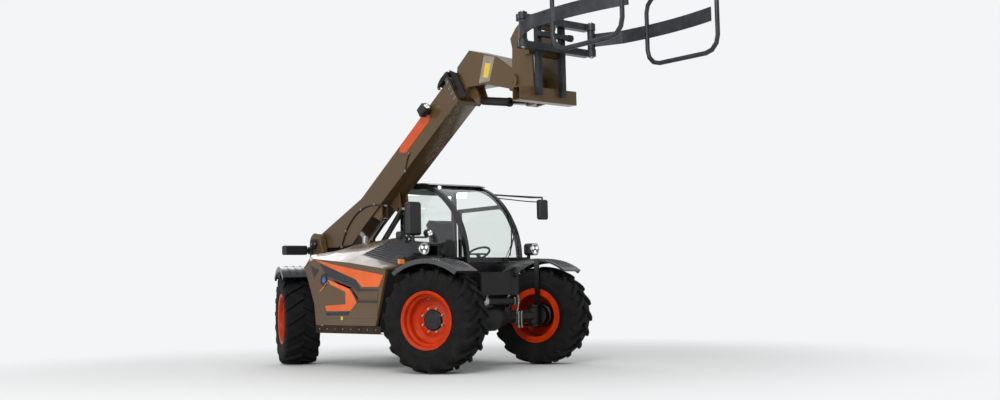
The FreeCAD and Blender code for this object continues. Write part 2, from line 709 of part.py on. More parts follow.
def inner_boom():
    half = BOOM_HALF_WIDTH - BOOM_WALL - INNER_GAP
    y0 = BOOM_CENTRE_Y - half
    y1 = BOOM_CENTRE_Y + half
    top = BOOM_TOP - BOOM_WALL - INNER_GAP
    bottom = BOOM_TOP - BOOM_DEPTH + BOOM_WALL + INNER_GAP
    wall = BOOM_WALL
    tube = box(INNER_TAIL, BOOM_TIP + 100, y0, y1, bottom, top)
    tube = tube.cut(box(INNER_TAIL - 1, BOOM_TIP + 40, y0 + wall, y1 - wall,
                        bottom + wall, top - wall))
    nose = HEAD_NOSE_RADIUS
    u, w = HEAD_PIN_U, HEAD_PIN_W
    head = [(BOOM_TIP + 60, bottom), (BOOM_TIP + 60, top), (3700, top), (3740, -85),
            (4030, -75), (4370, -500), (u + 0.85 * nose, w + 0.53 * nose),
            (u + 0.4 * nose, w - 0.917 * nose, 0), (u - 0.8 * nose, w - 0.6 * nose),
            (4020, -615), (3760, bottom)]
    pieces = [tube, hollow_plate(head, y0, y1, wall)]
    pieces.append(pin_across(u, w, y0 + 1, y1 - 1, HEAD_NOSE_RADIUS - wall - 1))
    base_u, base_w = local_of(TILT_BASE)
    lug = [(base_u - 90, bottom + 1), (base_u - 0.9 * TILT_EYE_RADIUS, base_w - 15),
           (base_u, base_w - TILT_EYE_RADIUS, 0), (base_u + 0.9 * TILT_EYE_RADIUS, base_w - 15),
           (base_u + 60, bottom - 60), (base_u + 60, bottom + 1)]
    pieces += ear_pair(lug, BOOM_CENTRE_Y, 45.0, (base_u, base_w), TILT_PIN_RADIUS)
    pieces.append(pin_across(base_u, base_w, BOOM_CENTRE_Y - 72, BOOM_CENTRE_Y + 72,
                             TILT_PIN_RADIUS))
    body = fuse(pieces)
    body = body.cut(pin_across(u, w, y0 - 50, y1 + 50, HEAD_PIN_RADIUS + PIN_FIT))
    return raised(body)


def local_of(place):
    """Boom coordinates of a point given in the side view."""
    a = math.radians(BOOM_ANGLE)
    dx = place[0] - PIVOT_X
    dz = place[1] - PIVOT_Z
    return dx * math.cos(a) + dz * math.sin(a), dz * math.cos(a) - dx * math.sin(a)


def carriage():
    """Side plates, cross tubes and lugs that hang on the head pin."""
    px, pz = head_pin_place()
    y_right = BOOM_CENTRE_Y - CARRIAGE_HALF
    y_left = BOOM_CENTRE_Y + CARRIAGE_HALF
    plate = [(px - 75, pz - 95), (px - 90, pz), (px - 20, pz + 120), (px - 10, pz + 380),
             (px - 40, pz + 500), (px + 50, pz + 600), (px + 150, pz + 670),
             (px + 250, pz + 680), (px + 190, pz + 480), (px + 200, pz + 330),
             (px + 330, pz + 250), (px + 340, pz - 100), (px + 300, pz - 200)]
    pieces = [side_plate(plate, y_right, y_right + CARRIAGE_PLATE),
              side_plate(plate, y_left - CARRIAGE_PLATE, y_left)]
    beam_y0 = BOOM_CENTRE_Y - BEAM_HALF
    beam_y1 = BOOM_CENTRE_Y + BEAM_HALF
    beam = box(px + 215, px + 345, beam_y0, beam_y1, pz - 270, pz - 110)
    beam = beam.cut(box(px + 227, px + 333, beam_y0 - 1, beam_y1 + 1, pz - 258, pz - 122))
    pieces.append(beam)
    pieces.append(box(px + 230, px + 325, y_right - 40, y_left + 40, pz + 260, pz + 345))
    pieces.append(box(px + 165, px + 245, y_right, y_left, pz + 600, pz + 670))
    eye_at = (px + TILT_EYE_FROM_PIN[0], pz + TILT_EYE_FROM_PIN[1])
    r = TILT_EYE_RADIUS
    lug = [(eye_at[0], eye_at[1] + r), (eye_at[0] - r, eye_at[1], 0), (eye_at[0], eye_at[1] - r),
           (px + 220, pz - 268), (px + 220, pz - 112)]
    pieces += ear_pair(lug, BOOM_CENTRE_Y, 45.0, eye_at, TILT_PIN_RADIUS)
    gap = BOOM_HALF_WIDTH - BOOM_WALL - INNER_GAP + EYE_SIDE_GAP
    for side in (-1, 1):
        near = BOOM_CENTRE_Y + side * gap
        far = BOOM_CENTRE_Y + side * (CARRIAGE_HALF + 30)
        pieces.append(pin_across(px, pz, min(near, far), max(near, far), HEAD_NOSE_RADIUS - 8))
    pieces.append(pin_across(px, pz, y_right - 35, y_left + 35, HEAD_PIN_RADIUS))
    return fuse(pieces)


def clamp_frame():
    """Clamp's frame: two uprights and two tubes, hooked on the carriage."""
    px, pz = head_pin_place()
    x0 = px + 345
    arm = CLAMP_ARM_Y
    pieces = []
    for z in (CLAMP_Z - 190, CLAMP_Z + 110):
        tube = box(x0 + 60, x0 + 160, BOOM_CENTRE_Y - arm, BOOM_CENTRE_Y + arm,
                   pz + z, pz + z + 80)
        pieces.append(tube)
    for side in (-1, 1):
        y = BOOM_CENTRE_Y + side * 180
        pieces.append(box(x0, x0 + 70, y - 30, y + 30, pz - 200, pz + 640))
        pieces.append(box(px + 200, x0 + 10, y - 30, y + 30, pz + 681, pz + 721))
        pieces.append(box(x0, x0 + 60, y - 30, y + 30, pz + 600, pz + 721))
        pin = V(px + CLAMP_PIVOT_X, BOOM_CENTRE_Y + side * arm, pz + CLAMP_Z - 190)
        pieces.append(Part.makeCylinder(52, 80, pin))
        pieces.append(Part.makeCylinder(52, 80, pin + V(0, 0, 300)))
        pieces.append(Part.makeCylinder(20, 380, pin))
    return fuse(pieces)


def clamp_arm():
    """Right arm about its pivot: curved band and a rounded loop of tube."""
    px, pz = head_pin_place()
    pivot_x = px + CLAMP_PIVOT_X
    pivot_y = BOOM_CENTRE_Y - CLAMP_ARM_Y
    outer = BOOM_CENTRE_Y - LOOP_Y
    mid_z = pz + CLAMP_Z
    sleeve = Part.makeCylinder(45, 210, V(pivot_x, pivot_y, mid_z - 105))
    thickness = ARM_BAND_THICKNESS
    start = V(pivot_x, pivot_y - 30, 0)
    knee = V(px + 860, outer - 10, 0)
    tip = V(px + LOOP_END - 5, outer + 60, 0)
    bend = V(px + 1500, outer - 40, 0)

    def offset(points, dy):
        return [p + V(0, dy, 0) for p in points]

    a, b, c, d = offset([start, knee, bend, tip], 0)
    e, f, g, h = offset([start, knee, bend, tip], thickness)
    edges = [Part.makeLine(a, b), Part.Arc(b, c, d).toShape(), Part.makeLine(d, h),
             Part.Arc(h, g, f).toShape(), Part.makeLine(f, e), Part.makeLine(e, a)]
    band = Part.Face(Part.Wire(edges)).extrude(V(0, 0, ARM_BAND_HEIGHT))
    band.translate(V(0, 0, mid_z - ARM_BAND_HEIGHT / 2))
    x0 = px + LOOP_START
    x1 = px + LOOP_END
    z0 = mid_z - LOOP_HALF_HEIGHT
    z1 = mid_z + LOOP_HALF_HEIGHT
    r = LOOP_CORNER
    path = []
    for cx, cz, first in ((x1 - r, z0 + r, -90), (x1 - r, z1 - r, 0),
                          (x0 + r, z1 - r, 90), (x0 + r, z0 + r, 180)):
        for step in range(4):
            turn = math.radians(first + 30 * step)
            path.append((cx + r * math.cos(turn), cz + r * math.sin(turn)))
    loop = tube_loop(path, LOOP_TUBE_RADIUS, 8)
    loop.translate(V(0, outer - LOOP_TUBE_RADIUS, 0))
    body = fuse([sleeve, band, loop])
    return body.cut(Part.makeCylinder(20.3, 400, V(pivot_x, pivot_y, mid_z - 200)))


def boom_group():
    save("outer_boom", outer_boom())
    save("inner_boom", inner_boom())
    save("carriage", carriage())
    save("clamp_frame", clamp_frame())
    arm = clamp_arm()
    save("clamp_arm_right", arm)
    arm_left = arm.copy()
    arm_left = arm_left.mirror(V(0, BOOM_CENTRE_Y, 0), AXIS_Y)
    save("clamp_arm_left", arm_left)


# Cab

FRONT_CURVE = [(CAB_FRONT, CAB_WAIST), (700, 1720, 0), (440, 2060), (220, 2215, 0),
               (-50, 2310), (-560, CAB_TOP), (CAB_REAR, 2280)]


def cab_frame():
    right = side_ring([(CAB_REAR, CAB_WAIST)] + FRONT_CURVE, PILLAR, CAB_RIGHT,
                      CAB_RIGHT + PILLAR_DEPTH)
    door_face = CAB_LEFT - DOOR_THICKNESS - DOOR_GAP
    left_outline = [(CAB_REAR, CAB_FLOOR), (610, CAB_FLOOR), (730, 1120)] + FRONT_CURVE
    left = side_ring(left_outline, PILLAR, door_face - PILLAR_DEPTH, door_face)
    pieces = [right, left]
    y0 = CAB_RIGHT
    y1 = door_face
    crosses = [(CAB_FRONT - 55, CAB_FRONT - 8, CAB_WAIST, CAB_WAIST + 55),
               (CAB_REAR + 5, CAB_REAR + 55, CAB_WAIST, CAB_WAIST + 55),
               (CAB_REAR + 5, CAB_REAR + 55, 2225, 2275),
               (-60, -2, 2256, 2290)]
    for x0, x1, z0, z1 in crosses:
        pieces.append(box(x0, x1, y0 + 5, y1 - 5, z0, z1))
    x, y = DOOR_AXIS
    for z in DOOR_HINGES:
        for z0 in (z - HINGE_HALF - 16, z + HINGE_HALF + 2):
            pieces.append(box(x - 11, x + 9, y1 - 6, y + 9, z0, z0 + 14))
        pieces.append(Part.makeCylinder(HINGE_PIN_RADIUS, 2 * HINGE_HALF + 20,
                                        V(x, y, z - HINGE_HALF - 10)))
    return fuse(pieces)


def cab_base():
    """Lower tub of the cab: floor and three walls, open above and at the door."""
    outline = [(CAB_REAR, CAB_FLOOR), (610, CAB_FLOOR), (740, 1080), (740, CAB_WAIST),
               (CAB_REAR, CAB_WAIST)]
    wall = CAB_WALL
    inner = [(CAB_REAR + wall, CAB_FLOOR + wall), (610 - 24, CAB_FLOOR + wall),
             (740 - wall, 1085), (740 - wall, CAB_WAIST + 1), (CAB_REAR + wall, CAB_WAIST + 1)]
    y1 = CAB_LEFT - DOOR_THICKNESS - DOOR_GAP - PILLAR_DEPTH
    tub = side_plate(outline, CAB_RIGHT, y1)
    tub = tub.cut(side_plate(inner, CAB_RIGHT + wall, y1 + 1))
    pedestal = box(-380, 60, CAB_RIGHT + 180, y1 - 200, CAB_FLOOR + wall, SEAT_BASE_TOP)
    return fuse([tub, pedestal])


def cab_roof():
    outline = [(CAB_REAR - 20, 2290), (-560, CAB_TOP + 1), (-50, 2311), (60, 2292), (80, 2300),
               (-60, 2332), (-540, CAB_TOP + 22), (CAB_REAR - 20, CAB_TOP)]
    return side_plate(outline, CAB_RIGHT - 10, CAB_LEFT - DOOR_THICKNESS)


def cab_glass():
    """Curved windscreen, right side pane and rear pane."""
    outline = [(CAB_REAR, CAB_WAIST)] + FRONT_CURVE
    door_face = CAB_LEFT - DOOR_THICKNESS - DOOR_GAP
    y0 = CAB_RIGHT + PILLAR_DEPTH
    y1 = door_face - PILLAR_DEPTH
    face = Part.Face(side_outline(outline))
    outer = face.makeOffset2D(-10)
    inner = face.makeOffset2D(-10 - GLASS)
    sheet = outer.cut(inner)
    sheet.translate(V(0, y0, 0))
    sheet = sheet.extrude(V(0, y1 - y0, 0))
    windscreen = sheet.common(box(-2 + SEAT_GAP, CAB_FRONT, y0, y1, CAB_WAIST + PILLAR, CAB_TOP))
    side = side_plate(inset(outline, PILLAR), CAB_RIGHT + 20, CAB_RIGHT + 20 + GLASS)
    rear = box(CAB_REAR + 20, CAB_REAR + 20 + GLASS, y0, y1, CAB_WAIST + PILLAR, 2220)
    return Part.makeCompound([windscreen, side, rear])


DOOR_OUTLINE = [(-545, 840), (570, 840), (690, 1130), (755, CAB_WAIST), (700, 1640, 0),
                (480, 1960), (430, 2010, 0), (370, DOOR_TOP), (-545, DOOR_TOP)]


DOOR_WINDOW = [(-490, 1180), (642, 1180), (694, 1285), (640, 1622, 0), (432, 1920),
               (392, 1958, 0), (345, 1985), (-490, 1985)]


def cab_door():
    y0 = CAB_LEFT - DOOR_THICKNESS
    panel = side_plate(DOOR_OUTLINE, y0, CAB_LEFT)
    window = side_plate(DOOR_WINDOW, y0 - 1, CAB_LEFT + 1)
    pieces = [panel.cut(window)]
    ax, ay = DOOR_AXIS
    for z in DOOR_HINGES:
        pieces.append(Part.makeCylinder(HINGE_RADIUS - 2, 2 * HINGE_HALF,
                                        V(ax, ay, z - HINGE_HALF)))
        pieces.append(box(ax, -540, ay - 6, ay + 8, z - HINGE_HALF, z + HINGE_HALF))
    body = fuse(pieces)
    for z in DOOR_HINGES:
        body = body.cut(Part.makeCylinder(HINGE_PIN_RADIUS + PIN_FIT, 120, V(ax, ay, z - 60)))
    return body


def door_glass():
    y0 = CAB_LEFT - 0.5 * DOOR_THICKNESS
    return side_plate(DOOR_WINDOW, y0, y0 + GLASS)


def dashboard():
    outline = [(500, CAB_FLOOR + CAB_WALL), (580, CAB_FLOOR + CAB_WALL), (692, 1088),
               (692, 1290), (640, 1330), (520, 1300)]
    console = side_plate(outline, CAB_RIGHT + CAB_WALL + 120, 900)
    return console


def steering_wheel():
    centre = V(400, 640, 1390)
    path = []
    for i in range(20):
        turn = math.radians(18 * i)
        path.append((165 * math.cos(turn), 165 * math.sin(turn)))
    ring = tube_loop(path, 15, 6)
    ring.rotate(V(0, 0, 0), AXIS_X, 90)
    ring.rotate(V(0, 0, 0), AXIS_Y, -30)
    ring.translate(centre)
    column = rod(V(545, 640, 1180), centre, 26)
    spoke = rod(centre - V(0, 160, 0), centre + V(0, 160, 0), 12)
    body = fuse([ring, column, spoke])
    return body.cut(dashboard())


def seat_cushion():
    return box(-330, 130, 400, 860, SEAT_BASE_TOP + SEAT_GAP, CUSHION_TOP)


def seat_back():
    foot = CUSHION_TOP + SEAT_GAP
    outline = [(-330, foot), (-210, foot), (-300, 1830), (-370, 1900), (-430, 1830)]
    return side_plate(outline, 410, 850)


def cab_group():
    save("cab_frame", cab_frame())
    save("cab_base", cab_base())
    save("cab_roof", cab_roof())
    save("cab_glass", cab_glass())
    save("cab_door", cab_door())
    save("door_glass", door_glass())
    save("dashboard", dashboard())
    save("steering_wheel", steering_wheel())
    save("seat_cushion", seat_cushion())
    save("seat_back", seat_back())


# Engine side

HOOD_SECTIONS = [
    # x, top at the hinge, top at the shoulder, top of the side, bottom of the side
    (355 - AXLE_X, 1500, 1425, 1400, 1290),
    (485 - AXLE_X, 1525, 1408, 1388, 1232),
    (695 - AXLE_X, 1555, 1402, 1369, 800),
    (735 - AXLE_X, 1560, 1401, 1365, 530),
    (100, 1600, 1388, 1292, 530),
    (AXLE_X - 795, 1530, 1279, 1226, 530),
    (AXLE_X - 575, 1501, 1233, 1199, 1150),
]


def hood_height(x, y):
    """Height of the hood's top between its hinge line and its shoulder."""
    for near, far in zip(HOOD_SECTIONS, HOOD_SECTIONS[1:]):
        if x <= far[0]:
            break
    share = (x - near[0]) / (far[0] - near[0])
    hinge = near[1] + share * (far[1] - near[1])
    shoulder = near[2] + share * (far[2] - near[2])
    return hinge + (shoulder - hinge) * (HOOD_HINGE_Y - y) / (HOOD_HINGE_Y - HOOD_SHOULDER)


def grille_slat(y):
    """One slanted slat along X whose ends sit in the hood's top."""
    sections = []
    for x in (GRILLE_START - SLAT_BITE, GRILLE_END + SLAT_BITE):
        outer = hood_height(x, y) - 5
        inner = outer - SLAT_DROP
        sections.append([V(x, y, outer), V(x, y + SLAT_THICKNESS, outer),
                         V(x, y + SLAT_THICKNESS - SLAT_DROP, inner),
                         V(x, y - SLAT_DROP, inner)])
    return through_sections(sections)


def engine_hood():
    """Clamshell hood with a slatted grille in front and vents behind it."""
    sections = []
    t = HOOD_SHEET
    for x, hinge, shoulder, side, bottom in HOOD_SECTIONS:
        profile = [(HOOD_HINGE_Y, hinge), (HOOD_SHOULDER, shoulder), (HOOD_OUTER, side),
                   (HOOD_OUTER, bottom), (HOOD_OUTER + t, bottom), (HOOD_OUTER + t, side - 0.4 * t),
                   (HOOD_SHOULDER + 0.4 * t, shoulder - t), (HOOD_HINGE_Y, hinge - t)]
        sections.append([V(x, y, z) for y, z in profile])
    skin = through_sections(sections)
    opening = box(GRILLE_START, GRILLE_END, GRILLE_Y0, GRILLE_Y1, 1200, 1700)
    skin = skin.cut(opening)
    for i in range(VENT_COUNT):
        x = VENT_START + i * VENT_PITCH
        skin = skin.cut(box(x, x + VENT_WIDTH, -680, -530, 1300, 1700))
    pieces = [skin]
    pitch = (GRILLE_Y1 - GRILLE_Y0 - 2 * SLAT_DROP) / (SLAT_COUNT - 1)
    for i in range(SLAT_COUNT):
        pieces.append(grille_slat(GRILLE_Y0 + SLAT_DROP + 8 + i * pitch))
    axis_y, axis_z = hood_axis()
    for x in HOOD_HINGES:
        pieces.append(rod(V(x - HINGE_HALF, axis_y, axis_z), V(x + HINGE_HALF, axis_y, axis_z),
                          HINGE_RADIUS))
        pieces.append(box(x - HINGE_HALF, x + HINGE_HALF, axis_y - 70, axis_y,
                          axis_z - HINGE_RADIUS, axis_z - HINGE_RADIUS + 8))
        pieces.append(box(x - HINGE_HALF, x + HINGE_HALF, axis_y - 70, axis_y - 62,
                          axis_z - 95, axis_z - HINGE_RADIUS + 8))
    body = fuse(pieces)
    for x in HOOD_HINGES:
        body = body.cut(rod(V(x - 60, axis_y, axis_z), V(x + 60, axis_y, axis_z),
                            HINGE_PIN_RADIUS + PIN_FIT))
    return body


def hood_axis():
    return HOOD_HINGE_Y + 0.5 * HOOD_GAP, HOOD_AXIS_Z


def engine_bay():
    """Tray, bulkheads and the fixed cowl between the hood and the boom."""
    right = trough_faces()[0] - RAIL_THICKNESS
    half = BAY_HALF_LENGTH
    outer = HOOD_OUTER + HOOD_SHEET + BAY_SIDE_GAP
    pieces = [box(-half, half, HOOD_OUTER + 10, right, TRAY_Z, RAIL_BOTTOM + 10)]
    for x in (-half, half - 20):
        corner_z = min(hood_height(x, HOOD_SHOULDER), hood_height(x + 20, HOOD_SHOULDER))
        edge_z = min(hood_height(x, HOOD_HINGE_Y), hood_height(x + 20, HOOD_HINGE_Y))
        drop = HOOD_SHEET + BAY_SIDE_GAP + 4
        corners = [V(x, outer, TRAY_Z), V(x, right, TRAY_Z), V(x, right, edge_z - drop),
                   V(x, HOOD_HINGE_Y, edge_z - drop), V(x, HOOD_SHOULDER + 30, corner_z - drop),
                   V(x, outer, corner_z - 60 - drop)]
        plate = Part.Face(Part.makePolygon(corners + [corners[0]])).extrude(V(20, 0, 0))
        pieces.append(plate)
    sections = []
    for x, hinge, _, _, _ in HOOD_SECTIONS:
        edge = HOOD_HINGE_Y + HOOD_GAP
        profile = [(right, hinge), (edge, hinge), (edge, hinge - 30),
                   (right - 20, hinge - 30), (right - 20, RAIL_TOP - 20), (right, RAIL_TOP - 20)]
        sections.append([V(x, y, z) for y, z in profile])
    pieces.append(through_sections(sections))
    axis_y, axis_z = hood_axis()
    for x in HOOD_HINGES:
        for side in (-1, 1):
            near = x + side * (HINGE_HALF + 2)
            far = near + side * 14
            pieces.append(box(min(near, far), max(near, far), axis_y - 4, axis_y + 24,
                              axis_z - 68, axis_z + 10))
        pieces.append(rod(V(x - HINGE_HALF - 16, axis_y, axis_z),
                          V(x + HINGE_HALF + 16, axis_y, axis_z), HINGE_PIN_RADIUS))
    body = fuse(pieces)
    x, y = EXHAUST_PLACE
    return body.cut(rod(V(x, y, 1400), V(x, y, 1700), EXHAUST_RADIUS + SEAT_GAP))


def engine():
    """Engine with its flywheel housing as one block on the tray."""
    right = trough_faces()[0] - RAIL_THICKNESS
    return box(915 - AXLE_X, AXLE_X - 1055, -940, right - 60, RAIL_BOTTOM + 10, 1180)


def exhaust():
    x, y = EXHAUST_PLACE
    stack = rod(V(x, y, 1500), V(x, y, 1640), EXHAUST_RADIUS)
    mouth = rod(V(x, y, 1640), V(x - 80, y, 1700), EXHAUST_RADIUS - 4)
    elbow = Part.makeSphere(EXHAUST_RADIUS, V(x, y, 1640))
    return fuse([stack, elbow, mouth])


def tank_and_steps():
    """Tank under the cab with two steps cut in its outer side."""
    left = trough_faces()[1] + RAIL_THICKNESS
    half = AXLE_X - 825
    y1 = 1110
    body = box(-half, half, left, y1, 420, 760)
    for z0, z1 in ((450, 575), (605, 730)):
        body = body.cut(box(-0.3 * half, 0.42 * half, y1 - 190, y1 + 1, z0, z1))
    return body


def mirrors():
    """Right mirror and lamp stalk on the frame, left mirror on an arm from the cab."""
    right = trough_faces()[0]
    rail = right - RAIL_THICKNESS
    x = MIRROR_X
    arm_z = LAMP_Z - 30
    pieces = [box(x - 25, x + 25, rail - 70, rail, RAIL_TOP - 120, RAIL_TOP - 10),
              box(x - 25, x + 25, rail - 70, rail - 22, RAIL_TOP - 120, arm_z + 30),
              box(x - 25, x + 25, MIRROR_Y - 60, rail - 22, arm_z, arm_z + 30),
              rod(V(x, MIRROR_Y, arm_z + 20), V(x, MIRROR_Y, 1640), 16)]
    lamp_y = MIRROR_Y + 160
    pieces.append(rod(V(x + 45, lamp_y, WORK_LAMP_Z), V(x + 115, lamp_y, WORK_LAMP_Z),
                      WORK_LAMP_RADIUS))
    pieces.append(box(x - 15, x + 60, MIRROR_Y + 5, lamp_y + 10,
                      WORK_LAMP_Z - 57, WORK_LAMP_Z - 39))
    pieces.append(chamfered(box(x - 25, x + 25, MIRROR_Y - 225, MIRROR_Y - 155,
                                INDICATOR_Z, INDICATOR_Z + 55), 10))
    pieces.append(box(x - 10, x + 10, MIRROR_Y - 165, MIRROR_Y - 50,
                      INDICATOR_Z + 40, INDICATOR_Z + 80))
    head = box(x - 50, x + 50, MIRROR_Y - 100, MIRROR_Y + 100, 1590, 1990)
    head = chamfered(head, 24)
    right_mirror = fuse(pieces + [head])
    door_face = CAB_LEFT - DOOR_THICKNESS - DOOR_GAP
    arm = [rod(V(200, door_face, 2190), V(200, 1095, 2190), 11),
           rod(V(200, 1085, 2190), V(760, 1260, 2120), 11),
           rod(V(760, 1260, 2120), V(920, 1320, 2110), 11),
           rod(V(920, 1320, 2115), V(920, 1320, 2000), 11)]
    left_head = box(880, 960, 1240, 1400, 1820, 2080)
    left_head = chamfered(left_head, 20)
    left_mirror = fuse(arm + [left_head])
    return Part.makeCompound([right_mirror, left_mirror])


def headlamp(x, y):
    shell = box(x - 70, x + 70, y - 85, y + 85, LAMP_Z, LAMP_Z + 150)
    return chamfered(shell, 26)


def headlamps():
    right = headlamp(1070, MIRROR_Y)
    right = fuse([right, box(MIRROR_X + 25, 1010, MIRROR_Y - 20, MIRROR_Y + 20,
                             LAMP_Z - 10, LAMP_Z + 30)])
    left = headlamp(1090, 960)
    left = fuse([left, box(CAB_FRONT - 8, 1050, 940, 980, LAMP_Z - 60, LAMP_Z - 20),
                 box(1025, 1050, 940, 980, LAMP_Z - 60, LAMP_Z + 10)])
    return Part.makeCompound([right, left])


def rear_lamp_bar():
    right = trough_faces()[0]
    y1 = right - RAIL_THICKNESS + 25
    housing = box(-2260, -2150, -720, -360, 1470, 1600)
    housing = chamfered(housing, 16)
    arm = box(-2225, -2165, -380, y1, 1500, 1560)
    plate = box(-2225, -2100, y1 - 16, y1, 1480, 1580)
    return fuse([housing, arm, plate])


def boom_lamp():
    y1 = BOOM_CENTRE_Y - BOOM_HALF_WIDTH
    shell = box(2940, 3090, y1 - 140, y1 - 30, -220, -90)
    shell = chamfered(shell, 18)
    bracket = box(2985, 3045, y1 - 40, y1, -200, -160)
    return raised(fuse([shell, bracket]))


def body_group():
    save("chassis_frame", frame())
    save("boom_tower", boom_tower())
    save("tow_hitch", tow_hitch())
    save("engine_hood", engine_hood())
    save("engine_bay", engine_bay())
    save("engine_block", engine())
    save("exhaust", exhaust())
    save("tank_and_steps", tank_and_steps())
    save("mirrors", mirrors())
    save("headlamps", headlamps())
    save("rear_lamp_bar", rear_lamp_bar())
    save("boom_lamp", boom_lamp())


running_gear()
body_group()
cab_group()
boom_group()
cylinders()
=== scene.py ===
# Telehandler with a round-bale clamp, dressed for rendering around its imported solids.
import bpy
import bmesh
import json
import math
from mathutils import Matrix, Vector

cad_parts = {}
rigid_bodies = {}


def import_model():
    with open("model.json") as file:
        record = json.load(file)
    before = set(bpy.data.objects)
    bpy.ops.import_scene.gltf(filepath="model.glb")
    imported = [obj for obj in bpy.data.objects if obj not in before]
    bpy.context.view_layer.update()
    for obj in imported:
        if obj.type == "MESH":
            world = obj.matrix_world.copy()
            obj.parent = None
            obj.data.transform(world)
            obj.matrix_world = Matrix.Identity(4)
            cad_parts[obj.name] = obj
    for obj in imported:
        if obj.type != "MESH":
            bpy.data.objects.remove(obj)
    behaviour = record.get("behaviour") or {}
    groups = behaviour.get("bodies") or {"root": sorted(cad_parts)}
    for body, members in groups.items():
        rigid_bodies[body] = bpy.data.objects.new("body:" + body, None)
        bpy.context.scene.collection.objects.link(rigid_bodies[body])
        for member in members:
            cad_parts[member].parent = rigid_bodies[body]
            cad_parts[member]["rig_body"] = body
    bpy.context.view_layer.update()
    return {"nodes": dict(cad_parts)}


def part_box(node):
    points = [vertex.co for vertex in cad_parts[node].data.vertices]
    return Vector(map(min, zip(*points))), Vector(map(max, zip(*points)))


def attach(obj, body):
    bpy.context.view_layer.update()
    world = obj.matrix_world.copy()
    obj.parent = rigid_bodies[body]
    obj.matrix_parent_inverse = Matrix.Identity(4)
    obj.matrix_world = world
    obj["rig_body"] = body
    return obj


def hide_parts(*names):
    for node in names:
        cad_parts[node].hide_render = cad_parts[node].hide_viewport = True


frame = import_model()

# Tyres
# Four cross-ply farm tyres with chevron lugs, moulded in black rubber.
# Each one is a casing turned about its axle with eighteen lugs a side vulcanised on.


def linear(code):
    """Linear colour with alpha from a hex sRGB value."""
    parts = [int(code[i:i + 2], 16) / 255 for i in (1, 3, 5)]
    return [c / 12.92 if c <= 0.04045 else ((c + 0.055) / 1.055) ** 2.4 for c in parts] + [1.0]


def add_node(tree, kind, settings=None, inputs=None):
    """One node with its settings and its sockets' values or links."""
    made = tree.nodes.new(kind)
    for key, value in (settings or {}).items():
        setattr(made, key, value)
    for key, value in (inputs or {}).items():
        if hasattr(value, "is_output"):
            tree.links.new(value, made.inputs[key])
        else:
            made.inputs[key].default_value = value
    return made


def surface_noise(tree, size, detail, stretch=(1, 1, 1)):
    """Noise that lies on the object; size in metres."""
    place = add_node(tree, "ShaderNodeTexCoord")
    drawn = add_node(tree, "ShaderNodeMapping", inputs={
        "Vector": place.outputs["Object"], "Scale": stretch})
    return add_node(tree, "ShaderNodeTexNoise", inputs={
        "Vector": drawn.outputs["Vector"], "Scale": 1 / size, "Detail": detail})


def finish(name, slot, base, roughness, relief=None, tones=None, wear=None, stretch=(1, 1, 1), **sockets):
    """Named finish on a Principled shader; its slot argument is not used.

    relief is (size, height, detail) of the fine bump, in metres. tones is (size, detail, dark, light, low,
    high): the base colour drifts between two values, on the relief's own noise where the size is None.
    wear is (size, detail, smooth, rough): the roughness drifts likewise.
    """
    material = bpy.data.materials.new(name)
    material.use_nodes = True
    tree = material.node_tree
    shader = tree.nodes["Principled BSDF"]
    shader.inputs["Base Color"].default_value = linear(base)
    shader.inputs["Roughness"].default_value = roughness
    for key, value in sockets.items():
        shader.inputs[key.replace("_", " ")].default_value = value
    if relief:
        size, height, detail = relief
        grain = surface_noise(tree, size, detail, stretch)
        bump = add_node(tree, "ShaderNodeBump", inputs={
            "Height": grain.outputs["Fac"], "Strength": 1.0, "Distance": height})
        tree.links.new(bump.outputs["Normal"], shader.inputs["Normal"])
    if tones:
        size, detail, dark, light, low, high = tones
        drift = grain if size is None else surface_noise(tree, size, detail)
        ramp = add_node(tree, "ShaderNodeValToRGB", inputs={"Fac": drift.outputs["Fac"]})
        for stop, place, colour in zip(ramp.color_ramp.elements, (low, high), (dark, light)):
            stop.position = place
            stop.color = linear(colour)
        tree.links.new(ramp.outputs["Color"], shader.inputs["Base Color"])
    if wear:
        size, detail, smooth, rough = wear
        span = add_node(tree, "ShaderNodeMapRange", inputs={
            "Value": surface_noise(tree, size, detail).outputs["Fac"], "From Min": 0.35, "From Max": 0.65,
            "To Min": smooth, "To Max": rough})
        tree.links.new(span.outputs["Result"], shader.inputs["Roughness"])
    return material


def mesh_object(name, mesh, material, body, replaced=()):
    """Finished piece that rides on a body and stands for CAD nodes."""
    made = bpy.data.objects.new(name, mesh)
    bpy.context.scene.collection.objects.link(made)
    mesh.materials.clear()
    mesh.materials.append(material)
    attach(made, body)
    if replaced:
        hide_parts(*replaced)
    return made


def lathe(bm, profile, sides, closed=True):
    """Ring about Y from (y, radius) points."""
    rings = []
    for k in range(sides):
        a = 2 * math.pi * k / sides
        rings.append([bm.verts.new((r * math.sin(a), y, r * math.cos(a))) for y, r in profile])
    count = len(profile)
    for k in range(sides):
        here, there = rings[k], rings[(k + 1) % sides]
        for j in range(count if closed else count - 1):
            n = (j + 1) % count
            bm.faces.new((here[j], here[n], there[n], there[j]))


def skin_rows(bm, rows):
    """Closed skin over rows that have as many points each."""
    for near, far in zip(rows, rows[1:]):
        for j in range(len(near)):
            n = (j + 1) % len(near)
            bm.faces.new((near[j], near[n], far[n], far[j]))
    bm.faces.new(rows[0])
    bm.faces.new(rows[-1])


def add_rod(bm, sides, radius, low, high, place=Matrix(), tip=None):
    """Round or many-sided bar on its place's Z, from low to high; tip is its radius at the high end."""
    bmesh.ops.create_cone(bm, cap_ends=True, segments=sides, radius1=radius,
                          radius2=radius if tip is None else tip, depth=high - low,
                          matrix=place @ Matrix.Translation((0, 0, 0.5 * (low + high))))


def add_box(bm, low, high):
    """Box between two opposite corners."""
    low, high = Vector(low), Vector(high)
    bmesh.ops.create_cube(bm, size=1.0, matrix=Matrix.Translation(
        (low + high) / 2) @ Matrix.Diagonal((*(high - low), 1)))


